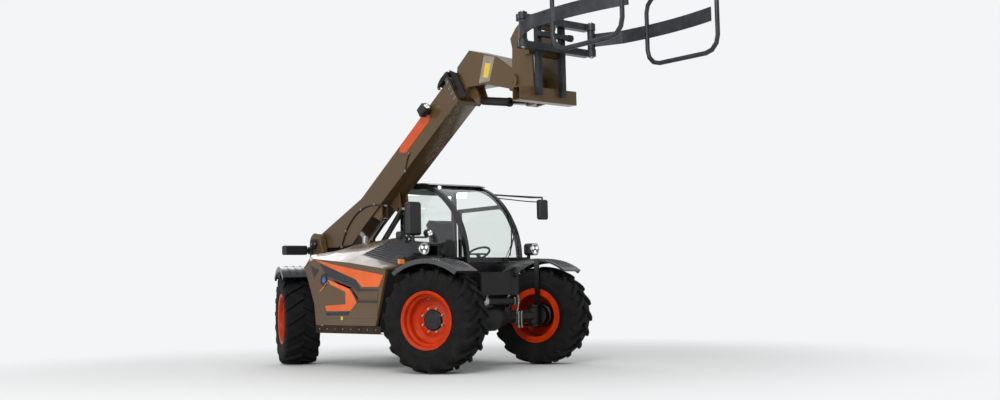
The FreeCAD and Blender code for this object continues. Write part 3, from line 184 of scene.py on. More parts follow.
def to_mesh(bm, name, place=None, smooth=35.0):
    """Mesh from a bmesh, outward faces, smooth up to an angle."""
    if place is not None:
        bm.transform(place)
    bmesh.ops.remove_doubles(bm, verts=bm.verts, dist=1e-5)
    bmesh.ops.recalc_face_normals(bm, faces=bm.faces)
    mesh = bpy.data.meshes.new(name)
    bm.to_mesh(mesh)
    bm.free()
    mesh.shade_smooth()
    mesh.set_sharp_from_angle(angle=math.radians(smooth))
    return mesh


def geometry_tree(name, sockets):
    """Geometry tree with named inputs (label, kind, value) after its geometry."""
    tree = bpy.data.node_groups.new(name, "GeometryNodeTree")
    tree.is_modifier = True
    tree.interface.new_socket("Geometry", in_out="INPUT", socket_type="NodeSocketGeometry")
    for label, kind, value in sockets:
        made = tree.interface.new_socket(label, in_out="INPUT", socket_type="NodeSocket" + kind)
        if value is not None:
            made.default_value = value
    tree.interface.new_socket("Geometry", in_out="OUTPUT", socket_type="NodeSocketGeometry")
    return tree, add_node(tree, "NodeGroupInput"), add_node(tree, "NodeGroupOutput")


def close_tree(tree, entry, leave, copies):
    """Last nodes of a geometry tree: its copies become one mesh in one finish."""
    joined = add_node(tree, "GeometryNodeRealizeInstances", inputs={"Geometry": copies.outputs[0]})
    coated = add_node(tree, "GeometryNodeSetMaterial", inputs={
        "Geometry": joined.outputs[0], "Material": entry.outputs["Finish"]})
    tree.links.new(coated.outputs[0], leave.inputs[0])


def evaluated_mesh(piece):
    """Mesh of an object as its modifiers leave it."""
    return bpy.data.meshes.new_from_object(piece.evaluated_get(bpy.context.evaluated_depsgraph_get()))


def grown(mesh, tree, values, place=None, smooth=35.0):
    """Plain mesh that a geometry tree grows from a start mesh."""
    start = bpy.data.objects.new(mesh.name, mesh)
    bpy.context.scene.collection.objects.link(start)
    modifier = start.modifiers.new("growth", "NODES")
    modifier.node_group = tree
    for item in tree.interface.items_tree:
        if item.item_type == "SOCKET" and item.in_out == "INPUT" and item.name in values:
            modifier[item.identifier] = values[item.name]
    made = evaluated_mesh(start)
    start.modifiers.clear()
    bpy.data.objects.remove(start)
    if place is not None:
        made.transform(place)
    made.shade_smooth()
    made.set_sharp_from_angle(angle=math.radians(smooth))
    return made


# Copies set round the axle: each one is turned by an equal share of the circle.
turned, entry, leave = geometry_tree("copies round an axle", (
    ("Count", "Int", 8), ("First turn", "Float", 0.0), ("Finish", "Material", None)))
seats = add_node(turned, "GeometryNodeMeshLine", inputs={
    "Count": entry.outputs["Count"], "Offset": (0, 0, 0)})
order = add_node(turned, "GeometryNodeInputIndex")
share = add_node(turned, "ShaderNodeMath", {"operation": "DIVIDE"}, {
    0: order.outputs[0], 1: entry.outputs["Count"]})
angle = add_node(turned, "ShaderNodeMath", {"operation": "MULTIPLY_ADD"}, {
    0: share.outputs[0], 1: 2 * math.pi, 2: entry.outputs["First turn"]})
about_y = add_node(turned, "ShaderNodeCombineXYZ", inputs={"Y": angle.outputs[0]})
spin = add_node(turned, "FunctionNodeEulerToRotation", inputs={0: about_y.outputs[0]})
copies = add_node(turned, "GeometryNodeInstanceOnPoints", inputs={
    "Points": seats.outputs[0], "Instance": entry.outputs["Geometry"], "Rotation": spin.outputs[0]})
close_tree(turned, entry, leave, copies)

# Moulded natural rubber: matt and near black, browner where field dust has worn in.
# Its grain is about 3 mm, drawn a little coarser than the mould's own finish so that it shows.
tyre_rubber = finish("moulded tyre rubber", "tyre_rubber", "#121211", 0.78, (0.003, 0.0004, 3.0),
                     (0.11, 5.0, "#090909", "#181614", 0.40, 0.75), Specular_IOR_Level=0.2)

WHEEL_CORNERS = (
    # corner, axle x, side, steering angle at rest
    ("front_left", 1.435, 1, 22.0),
    ("front_right", 1.435, -1, 22.0),
    ("rear_left", -1.435, 1, -22.0),
    ("rear_right", -1.435, -1, -22.0),
)
AXLE_HEIGHT = 0.6
KING_PIN_Y = 0.66
WHEEL_OUT = 0.26
LUGS_A_SIDE = 18
WEAR_BARS = 36


def at_corner(label, mesh, material, carrier, wheel, stands_for=None):
    """Copy of a piece drawn about the wheel's centre, outboard along +Y, at its corner."""
    corner, x, side, steer = wheel
    made = mesh.copy()
    made.transform(
        Matrix.Translation((x, side * KING_PIN_Y, AXLE_HEIGHT))
        @ Matrix.Rotation(math.radians(steer), 4, "Z")
        @ Matrix.Diagonal((1, side, 1, 1)) @ Matrix.Translation((0, WHEEL_OUT, 0)))
    if side < 0:
        made.flip_normals()
    mesh_object(label + corner, made, material, carrier + corner,
                replaced=[stands_for + corner] if stands_for else ())


def draw_casing():
    """Casing with bead, stepped sidewall and tread."""
    bm = bmesh.new()
    half = [
        (0.1997, 0.3063), (0.2037, 0.3343), (0.208, 0.342), (0.214, 0.350), (0.2155, 0.362),
        (0.2195, 0.366), (0.2225, 0.378), (0.2255, 0.396), (0.2275, 0.400), (0.2280, 0.412),
        (0.2265, 0.416), (0.2282, 0.440), (0.2275, 0.480), (0.224, 0.510), (0.216, 0.536),
        (0.203, 0.553), (0.180, 0.560), (0.120, 0.563), (0.0, 0.564)]
    lathe(bm, half + [(-y, r) for y, r in reversed(half[:-1])], 96)
    return to_mesh(bm, "casing")


def draw_lug(side):
    """One lug from the middle of the tread to the shoulder."""
    # stations: sweep in degrees, y, top radius, root radius, half width
    stations = (
        (0.0, -0.008, 0.600, 0.530, 0.025), (3.6, 0.050, 0.6000, 0.530, 0.025),
        (7.5, 0.112, 0.598, 0.530, 0.025), (11.2, 0.168, 0.593, 0.528, 0.025),
        (14.0, 0.210, 0.5865, 0.515, 0.0255), (14.9, 0.2235, 0.570, 0.500, 0.026),
        (15.4, 0.2300, 0.530, 0.480, 0.024))
    bm = bmesh.new()
    rows = []
    for sweep, y, top, root, half_width in stations:
        row = []
        for radius, spread in ((root, 1.25), (top - 0.010, 1.04), (top, 0.86),
                               (top, -0.86), (top - 0.010, -1.04), (root, -1.25)):
            a = math.radians(sweep) + spread * half_width / AXLE_HEIGHT
            row.append(bm.verts.new((radius * math.sin(a), side * y, radius * math.cos(a))))
        rows.append(row)
    skin_rows(bm, rows)
    return to_mesh(bm, "lug")


def draw_wear_bar():
    """Small moulded bar on the sidewall, as on the mould's parting line."""
    bm = bmesh.new()
    add_box(bm, (-0.004, 0.2232, 0.418), (0.004, 0.2294, 0.500))
    return to_mesh(bm, "sidewall bar")


def joined_mesh(name, meshes):
    """One mesh from several."""
    bm = bmesh.new()
    for mesh in meshes:
        bm.from_mesh(mesh)
    made = bpy.data.meshes.new(name)
    bm.to_mesh(made)
    bm.free()
    made.shade_smooth()
    made.set_sharp_from_angle(angle=math.radians(35))
    return made


def ringed(mesh, count, first_turn, material, smooth=35.0):
    """Copies of a mesh round the axle; the first turn is in radians."""
    return grown(mesh, turned, {"Count": count, "First turn": first_turn, "Finish": material},
                 smooth=smooth)


whole_tyre = joined_mesh("tyre", [
    draw_casing(),
    ringed(draw_lug(1), LUGS_A_SIDE, math.radians(1.5), tyre_rubber),
    ringed(draw_lug(-1), LUGS_A_SIDE, math.radians(11.5), tyre_rubber),
    ringed(draw_wear_bar(), WEAR_BARS, 0.0, tyre_rubber)])
for wheel in WHEEL_CORNERS:
    at_corner("tyre_skin_", whole_tyre, tyre_rubber, "wheel_", wheel, "tyre_")

# Rims
# Deep dished steel rims, pressed and welded, painted red-orange and bolted to the hubs by eight nuts.

# Gloss enamel on steel: a clear bright red-orange with soft reflections and a 4 mm orange peel.
rim_enamel = finish("red-orange rim enamel", "rim_paint", "#ae2c02", 0.4, (0.004, 0.00002, 1.0),
                    (0.15, 3.0, "#a52802", "#ba3204", 0.35, 0.65), Coat_Weight=0.03,
                    Coat_Roughness=0.12, Specular_IOR_Level=0.12)
# Zinc-plated steel: pale grey and half bright, duller where it has been gripped by a spanner.
zinc_steel = finish("zinc-plated steel", "chromed_rod", "#9da1a4", 0.32, (0.002, 0.00005, 2.0),
                    wear=(0.012, 3.0, 0.24, 0.46), Metallic=1.0)

NUT_COUNT = 8
DISC_FACE = 0.052
NUT_CIRCLE = 0.138


def draw_rim():
    """Rim with flanges, well, dished disc and a hand hole's rolled edge."""
    bm = bmesh.new()
    lathe(bm, [
        (0.214, 0.3335), (0.2085, 0.3337), (0.204, 0.332), (0.2015, 0.322), (0.2, 0.307),
        (0.196, 0.306), (0.152, 0.306), (0.146, 0.304), (0.134, 0.276), (0.128, 0.274),
        (-0.128, 0.274), (-0.134, 0.276), (-0.2, 0.306), (-0.2038, 0.332), (-0.2085, 0.3337),
        (-0.214, 0.3335), (-0.214, 0.262), (0.012, 0.262), (0.022, 0.250), (0.030, 0.205),
        (0.034, 0.196), (0.034, 0.1215), (DISC_FACE, 0.1215), (DISC_FACE, 0.176), (0.048, 0.182),
        (0.047, 0.205), (0.050, 0.222), (0.062, 0.250), (0.070, 0.258), (0.076, 0.258),
        (0.082, 0.261), (0.136, 0.262), (0.144, 0.264), (0.158, 0.292), (0.166, 0.294),
        (0.196, 0.294), (0.206, 0.300), (0.212, 0.318)], 96)
    return to_mesh(bm, "rim")


def draw_nut():
    """Hexagon nut on its conical washer with the stud's end."""
    bm = bmesh.new()
    place = Matrix.Translation((0, DISC_FACE, NUT_CIRCLE)) @ Matrix.Rotation(math.radians(-90), 4, "X")
    for sides, radius, tip, low, high in (
            (20, 0.0185, 0.0165, 0.0, 0.004), (6, 0.0150, 0.0150, 0.004, 0.018),
            (6, 0.0150, 0.0125, 0.018, 0.021), (12, 0.0080, 0.0080, 0.021, 0.033),
            (12, 0.0080, 0.0062, 0.033, 0.036)):
        add_rod(bm, sides, radius, low, high, place, tip)
    return to_mesh(bm, "wheel nut", smooth=25.0)


def draw_valve():
    """Tyre valve standing out of the rim's well."""
    bm = bmesh.new()
    place = Matrix.Translation((0, 0.108, 0.262)) @ Matrix.Rotation(math.radians(-115), 4, "X")
    for radius, low, high in ((0.008, 0.0, 0.012), (0.004, 0.012, 0.040), (0.0055, 0.040, 0.052)):
        add_rod(bm, 12, radius, low, high, place, 0.92 * radius)
    return to_mesh(bm, "valve")


rim_shape = draw_rim()
nut_ring = ringed(draw_nut(), NUT_COUNT, math.radians(22.5), zinc_steel, 25.0)
fasteners = joined_mesh("nuts and valve", [nut_ring, draw_valve()])
for wheel in WHEEL_CORNERS:
    at_corner("rim_skin_", rim_shape, rim_enamel, "wheel_", wheel, "rim_")
    at_corner("wheel_nuts_", fasteners, zinc_steel, "wheel_", wheel)

# Knuckles and axles
# Cast steering knuckles with their hubs, and welded axle housings, painted satin black.


def bevelled(piece, radius, segments=2, **settings):
    """Rounds a piece's edges."""
    bevel = piece.modifiers.new("edge", "BEVEL")
    bevel.width = radius
    bevel.segments = segments
    for key, value in settings.items():
        setattr(bevel, key, value)
    return piece


def rounded(node, material, radius, angle=35.0, segments=2, spare=None, trim=None):
    """CAD node's own form with its facets joined and its edges rounded, but not where spare is true;
    trim may cut the mesh before that."""
    source = frame["nodes"][node]
    bm = bmesh.new()
    bm.from_mesh(source.data)
    bmesh.ops.remove_doubles(bm, verts=bm.verts, dist=2e-5)
    bmesh.ops.dissolve_limit(bm, angle_limit=math.radians(0.6), verts=bm.verts, edges=bm.edges)
    if trim:
        trim(bm)
    if spare:
        weight = bm.edges.layers.float.new("bevel_weight_edge")
        for edge in bm.edges:
            open_edge = len(edge.link_faces) != 2
            bent = not open_edge and edge.calc_face_angle(0) > math.radians(angle)
            if bent and not any(spare(v.co) for v in edge.verts):
                edge[weight] = 1.0
    mesh = bpy.data.meshes.new(node + " skin")
    bm.to_mesh(mesh)
    bm.free()
    mesh.shade_smooth()
    mesh.set_sharp_from_angle(angle=math.radians(angle))
    made = mesh_object(node + "_skin", mesh, material, source["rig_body"], [node])
    if radius:
        bevelled(made, radius, segments, limit_method="WEIGHT" if spare else "ANGLE",
                 angle_limit=math.radians(angle), harden_normals=True, miter_outer="MITER_ARC")
    return made


def repaint(piece, material, chosen):
    """Second finish on the faces whose centre and normal the test chooses."""
    piece.data.materials.append(material)
    for face in piece.data.polygons:
        if chosen(face.center, face.normal):
            face.material_index = len(piece.data.materials) - 1


# Two-pack chassis paint over welded and cast steel: satin black, a 4 mm orange peel, field dust.
chassis_black = finish("satin black chassis paint", "chassis_paint", "#131313", 0.42,
                       (0.004, 0.00012, 2.0), (0.2, 5.0, "#0e0e0e", "#191715", 0.40, 0.75),
                       Specular_IOR_Level=0.3)
for wheel in WHEEL_CORNERS:
    rounded("knuckle_" + wheel[0], chassis_black, 0.004)


def draw_hub_cap():
    """Turned cover over the hub's many-sided end, with its rim and planet carrier's step."""
    bm = bmesh.new()
    lathe(bm, [(0.028, 0.0), (0.028, 0.1195), (0.060, 0.1195), (0.067, 0.114), (0.0715, 0.108),
               (0.0735, 0.096), (0.0735, 0.080), (0.0765, 0.076), (0.0765, 0.030), (0.0800, 0.026),
               (0.0815, 0.0)], 64, closed=False)
    return to_mesh(bm, "hub cap", smooth=40.0)


def draw_cap_bolt():
    """One bolt head of the hub cap."""
    bm = bmesh.new()
    add_rod(bm, 6, 0.0065, 0.0, 0.007,
            Matrix.Translation((0, 0.0735, 0.088)) @ Matrix.Rotation(math.radians(-90), 4, "X"), 0.006)
    return to_mesh(bm, "cap bolt", smooth=25.0)


hub_cover = joined_mesh("hub cover", [
    draw_hub_cap(), ringed(draw_cap_bolt(), 6, 0.2, chassis_black, 25.0)])
for wheel in WHEEL_CORNERS:
    at_corner("hub_cover_", hub_cover, chassis_black, "upright_", wheel)
for node in ("front_axle", "rear_axle"):
    rounded(node, chassis_black, 0.006)

# Fenders
# Four moulded mudguards on flat struts that turn with the wheels, stiffened by ribs along the arc.

# Injection-moulded polypropylene in gloss black: a slow 20 mm shrinkage ripple bends the sky in it.
gloss_plastic = finish("gloss black moulded plastic", "fender_plastic", "#0f0f10", 0.22,
                       (0.03, 0.00003, 0.0), wear=(0.15, 1.0, 0.2, 0.28))


def arc_bar(reach, y0, y1, low, high, start, end, steps):
    """Bar along the fender's arc about the wheel's centre, its ends tapered; angles in degrees."""
    bm = bmesh.new()
    rows = []
    for k in range(steps + 1):
        a = math.radians(start + (end - start) * k / steps)
        top = high if 0 < k < steps else low + 0.001
        rows.append([bm.verts.new((r * math.sin(a), y, r * math.cos(a)))
                     for y, r in ((y0 - 0.004, reach + low), (y0, reach + top),
                                  (y1, reach + top), (y1 + 0.004, reach + low))])
    skin_rows(bm, rows)
    return to_mesh(bm, "fender rib")


# Copies in rows: a line of copies, and a line of such lines.
rows_of, entry, leave = geometry_tree("copies in rows", (
    ("Count", "Int", 2), ("Step", "Vector", (0.1, 0, 0)), ("Rows", "Int", 1),
    ("Row step", "Vector", (0, 0.1, 0)), ("Finish", "Material", None)))
line = add_node(rows_of, "GeometryNodeMeshLine", inputs={
    "Count": entry.outputs["Count"], "Offset": entry.outputs["Step"]})
row = add_node(rows_of, "GeometryNodeInstanceOnPoints", inputs={
    "Points": line.outputs[0], "Instance": entry.outputs["Geometry"]})
stack = add_node(rows_of, "GeometryNodeMeshLine", inputs={
    "Count": entry.outputs["Rows"], "Offset": entry.outputs["Row step"]})
field = add_node(rows_of, "GeometryNodeInstanceOnPoints", inputs={
    "Points": stack.outputs[0], "Instance": row.outputs[0]})
close_tree(rows_of, entry, leave, field)


def in_rows(mesh, material, count, step, rows=1, row_step=(0, 0.1, 0), place=None, smooth=35.0):
    """Copies of a mesh in rows."""
    return grown(mesh, rows_of, {"Count": count, "Step": step, "Rows": rows, "Row step": row_step,
                                 "Finish": material}, place, smooth)


fender_trim = joined_mesh("fender trim", [
    in_rows(arc_bar(0.694, -0.150, -0.128, -0.003, 0.007, -34, 34, 20), gloss_plastic, 4,
            (0, 0.093, 0)),
    arc_bar(0.6925, 0.222, 0.242, -0.052, 0.003, -37.6, 37.6, 24)])
for wheel in WHEEL_CORNERS:
    rounded("fender_" + wheel[0], gloss_plastic, 0.006)
    at_corner("fender_ribs_", fender_trim, gloss_plastic, "upright_", wheel)

# Frame
# Two welded box side members with the boom's trough between them, and the tow hitch bolted on.
for node, size in (("chassis_frame", 0.005), ("tow_hitch", 0.005), ("engine_bay", 0.004)):
    rounded(node, chassis_black, size)

across = Matrix.Rotation(math.radians(90), 4, "X")
# turns that bring a shape's +Z onto an axis
ONTO_AXIS = {
    "Z": Matrix(), "X": Matrix.Rotation(math.radians(90), 4, "Y"),
    "-X": Matrix.Rotation(math.radians(-90), 4, "Y"), "Y": Matrix.Rotation(math.radians(-90), 4, "X"),
    "-Y": across}


def hex_head(radius, height, axis):
    """Hexagon bolt head on its washer, standing on the origin along an axis."""
    bm = bmesh.new()
    washer = 1.35 * radius
    for sides, foot, tip, low, high in (
            (16, washer, washer, -0.001, 0.25 * height), (6, radius, radius, 0.25 * height, 0.9 * height),
            (6, radius, 0.85 * radius, 0.9 * height, height)):
        add_rod(bm, sides, foot, low, high, ONTO_AXIS[axis], tip)
    return to_mesh(bm, "bolt", smooth=25.0)


def bolt_rows(name, place, axis, body, count, step, rows=1, row_step=(0, 0.1, 0), radius=0.010,
              height=0.009):
    """Rows of zinc-plated bolt heads on a face."""
    return mesh_object(name, in_rows(hex_head(radius, height, axis), zinc_steel, count, step, rows,
                                     row_step, place, 25.0), zinc_steel, body)


bolt_rows("hitch_bolts", Matrix.Translation((-2.225, -0.135, 0.775)), "-X", "machine", 2,
          (0, 0.19, 0), 4, (0, 0, 0.081))
bolt_rows("rail_bolts_right", Matrix.Translation((-0.55, -0.330, 0.56)), "-Y", "machine", 12,
          (0.1, 0, 0))


def rect(a0, b0, a1, b1):
    """Rectangle's corners from two opposite ones."""
    return (a0, b0), (a1, b0), (a1, b1), (a0, b1)


def slab(name, outline, near, far, material, body, radius=0.002, segments=2, plane="XZ"):
    """Flat plate with a drawn outline in a plane (XZ or YZ), between two depths, edges rounded."""
    bm = bmesh.new()
    skin_rows(bm, [[bm.verts.new((a, depth, b) if plane == "XZ" else (depth, a, b)) for a, b in outline]
                   for depth in (near, far)])
    return bevelled(mesh_object(name, to_mesh(bm, name), material, body), radius, segments,
                    limit_method="ANGLE", angle_limit=math.radians(50), harden_normals=True)


def pipe_run(name, path, radius, material, body, unions=True):
    """Bent pipe through points, round at its bends, with a screwed union at each end."""
    curve = bpy.data.curves.new(name, "CURVE")
    curve.dimensions = "3D"
    curve.bevel_depth = radius
    curve.bevel_resolution = 2
    curve.use_fill_caps = True
    run = curve.splines.new("NURBS")
    run.points.add(len(path) - 1)
    for point, place in zip(run.points, path):
        point.co = (*place, 1)
    run.order_u = 3
    run.use_endpoint_u = True
    run.resolution_u = 6
    holder = bpy.data.objects.new(name, curve)
    bpy.context.scene.collection.objects.link(holder)
    bm = bmesh.new()
    bm.from_mesh(evaluated_mesh(holder))
    bpy.data.objects.remove(holder)
    mesh_object(name, to_mesh(bm, name, smooth=50.0), material, body)
    if unions:
        bm = bmesh.new()
        for end, after in ((path[0], path[1]), (path[-1], path[-2])):
            along = (Vector(after) - Vector(end)).normalized()
            seat = Matrix.Translation(end) @ along.to_track_quat("Z", "Y").to_matrix().to_4x4()
            for sides, share, low, high in ((6, 1.7, -0.2, 1.4), (16, 1.35, 1.4, 4.2)):
                add_rod(bm, sides, share * radius, low * radius, high * radius, seat)
        mesh_object(name + "_unions", to_mesh(bm, name, smooth=30.0), zinc_steel, body)


# Hydraulic line in extruded black nitrile: matt with a fine wrapped texture of 3 mm.
line_rubber = finish("wrapped hydraulic line rubber", "black_plastic", "#131312", 0.62,
                     (0.003, 0.0003, 2.0))
# Cable sleeve of white-grey polyamide braid, slightly soiled.
pale_sleeve = finish("pale polyamide sleeve", "black_plastic", "#b9b6ae", 0.6, (0.0025, 0.0004, 1.0),
                     (0.04, 3.0, "#8f8c84", "#c6c4bc", 0.35, 0.7))
# Phosphated clamp blocks: dark grey, dull, with a 2 mm cast grain.
clamp_grey = finish("phosphated clamp steel", "chassis_paint", "#4c4c4a", 0.5, (0.002, 0.0001, 2.0),
                    (0.05, 3.0, "#434341", "#565654", 0.35, 0.7), Metallic=0.5)
# Reflective foil in plain yellow: a satin film with fine dust on it.
yellow_foil = finish("plain yellow foil", "body_paint", "#d9b21c", 0.4, (0.001, 0.00003, 1.0),
                     (0.03, 3.0, "#c9a216", "#e0bb2a", 0.35, 0.7), Coat_Weight=0.3)

# Flat cover plate between the side members' front ends
slab("front_cover", rect(-0.322, 0.868, 0.130, 1.128), 1.649, 1.655, chassis_black, "machine",
     plane="YZ")
slab("front_cover_lip", rect(-0.322, 1.118, 0.130, 1.132), 1.600, 1.656, chassis_black, "machine",
     plane="YZ")
# Steering cylinder across the front axle with its glands, banded end, lines and straps
for name, finish_used, slot, bands in (
        ("steering_glands", chassis_black, None, (
            (-0.336, -0.322, 0.0495), (-0.300, -0.292, 0.0500), (0.222, 0.232, 0.0500),
            (0.243, 0.2515, 0.0495))),
        ("steering_band", yellow_foil, None, ((-0.292, -0.258, 0.0488),)),
        ("pale_band", pale_sleeve, "body_paint", ((-0.255, -0.189, 0.0488),))):
    bm = bmesh.new()
    for y0, y1, radius in bands:
        add_rod(bm, 48, radius, -y1, -y0, Matrix.Translation((1.58, 0, 0.795)) @ across)
    mesh_object(name, to_mesh(bm, name), finish_used, "machine")
# Clamp block on the axle tube with its two bright bolts, and the pale sleeve that runs to it
slab("axle_clamp", rect(0.322, 0.515, 0.420, 0.645), 1.430, 1.516, clamp_grey, "machine",
     radius=0.006, plane="YZ")
for k, y in enumerate((0.346, 0.394)):
    pipe_run("axle_bolt_%d" % k, [(1.524, y, z) for z in (0.468, 0.560, 0.662)], 0.008, zinc_steel,
             "machine")
pipe_run("pale_line", [
    (1.585, 0.150, 0.842), (1.600, 0.165, 0.885), (1.612, 0.235, 0.890), (1.605, 0.290, 0.830),
    (1.575, 0.305, 0.730), (1.515, 0.330, 0.640)], 0.008, pale_sleeve, "machine")
for k, y in enumerate((-0.20, 0.12)):
    pipe_run("steering_line_%d" % k, [
        (1.60, y, 0.842), (1.615, y, 0.868), (1.615, y + 0.02, 0.90), (1.60, y + 0.05, 0.93),
        (1.5875, y + 0.06, 0.935)], 0.008, line_rubber, "machine")
for k, y in enumerate((-0.275, 0.205)):
    pipe_run("barrel_strap_%d" % k, [(x, y, z) for x, z in (
        (1.515, 0.785), (1.53, 0.838), (1.58, 0.866), (1.63, 0.838), (1.634, 0.795), (1.63, 0.752),
        (1.58, 0.724), (1.53, 0.752), (1.515, 0.770))], 0.006, zinc_steel, "machine", unions=False)

# Boom
# Welded box sections, the inner one telescoping out of the outer one, in the body colour.

# Metallic grey-brown machine enamel, satin: 1.5 mm flakes, drawn coarser than real ones so that
# they show, lift it in the light under a thin clear coat.
body_enamel = finish("metallic grey-brown enamel", "body_paint", "#57432a", 0.4, (0.0015, 0.00001, 1.0),
                     (None, None, "#4f3c24", "#634d31", 0.3, 0.75), (0.25, 5.0, 0.32, 0.46),
                     Metallic=0.2, Coat_Weight=0.4, Coat_Roughness=0.06, Specular_IOR_Level=0.2)
for node, slot, size in (("outer_boom", "boom_paint", 0.006), ("inner_boom", "boom_paint", 0.006),
                         ("boom_tower", None, 0.006), ("carriage", "boom_paint", 0.004)):
    rounded(node, body_enamel, size)

# Satin orange-red enamel of the badges and stripes, sprayed through a mask, and the same enamel,
# lighter and more orange on the side panels as painted light.
stripe_enamel, lit_stripe_enamel = [
    finish(name, "rim_paint", base, 0.4, (0.004, 0.00003, 1.0), (0.3, 3.0, dark, light, 0.35, 0.7),
           Coat_Weight=0.2, Coat_Roughness=0.15, Specular_IOR_Level=0.3)
    for name, base, dark, light in (
        ("orange-red stripe enamel", "#c64a12", "#bd440e", "#cf521a"),
        ("orange stripe enamel painted lit", "#d85c18", "#d15515", "#df6622"))]

BOOM_RIGHT = -0.2
BOOM_CENTRE = -0.04
PIVOT_X, PIVOT_Z = -2.05, 1.62
slab("boom_badge", ((0.525, 3.042), (0.563, 3.127), (0.406, 3.153), (-0.102, 2.787),
                    (-0.124, 2.720), (0.025, 2.699)), BOOM_RIGHT - 0.003, BOOM_RIGHT + 0.001,
     stripe_enamel, "boom", radius=0.0015)
# The next pieces are drawn along the level boom, and this turn about its pivot raises them
raised = Matrix.Translation((PIVOT_X, 0, PIVOT_Z)) @ Matrix.Rotation(math.radians(-34), 4, "Y")
# Wear-pad screws round the mouth, in two rows on each side of the collar and on top
for name, axis, y, z, row_step in (
        ("pad_screws_right", "-Y", BOOM_CENTRE - 0.188, -0.150, (0, 0, -0.085)),
        ("pad_screws_left", "Y", BOOM_CENTRE + 0.188, -0.150, (0, 0, -0.085)),
        ("pad_screws_top", "Z", -0.1675, -0.079, (0, 0.085, 0))):
    bolt_rows(name, raised @ Matrix.Translation((3.513, y, z)), axis, "boom", 2, (0.034, 0, 0), 4,
              row_step, 0.011, 0.010)
# Pivot pin's retaining plates with two screws each, both sides of the tower
for side, axis, label, y in ((-1, "-Y", "minus_Y", -0.330), (1, "Y", "Y", 0.250)):
    bm = bmesh.new()
    face = Matrix.Translation((PIVOT_X, y, PIVOT_Z)) @ across
    add_rod(bm, 48, 0.070, -0.006, 0.006, face)
    add_rod(bm, 32, 0.030, -0.010, 0.010, face, 0.026)
    mesh_object("pivot_cap_" + label, to_mesh(bm, "pivot cap", smooth=30.0), chassis_black, "machine")
    bolt_rows("pivot_screws_" + label, Matrix.Translation((PIVOT_X - 0.045, y + side * 0.005, PIVOT_Z)),
              axis, "machine", 2, (0.09, 0, 0))
# Line guide at the outer section's mouth: a folded black plate with the two lines that it leads
for name, outline, near, far, radius in (
        ("line_guide", ((3.43, -0.079), (3.56, -0.079), (3.60, -0.052), (3.60, -0.030),
                        (3.43, -0.030), (3.36, -0.060), (3.36, -0.079)), -0.236, -0.130, 0.003),
        ("line_guide_leg", ((3.57, -0.045), (3.60, -0.045), (3.60, -0.300), (3.575, -0.320)),
         -0.242, -0.232, 0.002)):
    guide = slab(name, outline, near, far, chassis_black, "boom", radius)
    guide.data.transform(raised)
for k, y in enumerate((-0.222, -0.202)):
    pipe_run("guide_line_%d" % k, [raised @ Vector((x, y, z)) for x, z in (
        (3.34, -0.090), (3.34, -0.050), (3.42, -0.018), (3.52, -0.018), (3.565, -0.022))],
        0.008, line_rubber, "boom")
# Blank yellow plate on its paler band on the head's right side
# Paler metallic enamel of the band, satin under the same clear coat.
band_enamel = finish("pale metallic enamel", "boom_paint", "#8d8477", 0.42, (0.0015, 0.00003, 1.0),
                     (0.1, 3.0, "#857b6d", "#968d80", 0.35, 0.7), Metallic=0.2, Coat_Weight=0.4,
                     Coat_Roughness=0.15)
slab("head_band", ((1.614, 3.706), (1.811, 3.655), (1.708, 3.38), (1.507, 3.384)),
     -0.1795, -0.176, band_enamel, "boom_inner", radius=0.001)
slab("head_plate", ((1.639, 3.609), (1.737, 3.587), (1.681, 3.423), (1.587, 3.447)),
     -0.1815, -0.179, yellow_foil, "boom_inner", 0.0008)
# Black housing of the side wear pad down the outer section's mouth
slab("mouth_housing", ((0.971, 3.625), (1.121, 3.565), (1.301, 3.264), (1.172, 3.244)),
     -0.214, -0.199, chassis_black, "boom", radius=0.003)
# Hard lines that follow the foot and the middle of the boom, clipped to its side
pipe_run("foot_line", [(x, -0.209, z) for x, z in (
    (-1.519, 1.545), (-1.470, 1.650), (-1.439, 1.702), (-1.340, 1.838), (-1.133, 1.999),
    (-0.864, 2.081), (-0.604, 2.078), (-0.419, 2.051))], 0.009, line_rubber, "boom")
pipe_run("mid_line", [(x, -0.208, z) for x, z in (
    (0.114, 2.700), (0.068, 2.628), (0.030, 2.530), (0.004, 2.454))], 0.007, line_rubber, "boom")
for k, (x, z, turn) in enumerate(((-1.39, 1.77, 55), (-1.02, 2.04, 25), (-0.70, 2.088, 0))):
    clip = slab("line_clip_%d" % k, rect(-0.013, -0.016, 0.013, 0.016), -0.221, -0.199, zinc_steel,
                "boom", radius=0.003)
    clip.data.transform(Matrix.Translation((x, 0, z)) @ Matrix.Rotation(math.radians(-turn), 4, "Y"))

# Cylinders
# Honed steel barrels in chassis paint with hard-chromed piston rods and screwed glands.

# Hard chrome on ground steel: bright, with faint grinding lines round the rod and a film of oil.
hard_chrome = finish("hard-chromed rod", "chromed_rod", "#a8a59e", 0.16, wear=(0.02, 6.0, 0.12, 0.24),
                     Metallic=1.0)
for kind in ("lift", "level", "tilt"):
    rounded(kind + "_barrel", chassis_black, 0.003)
    rounded(kind + "_rod", hard_chrome, 0.0)
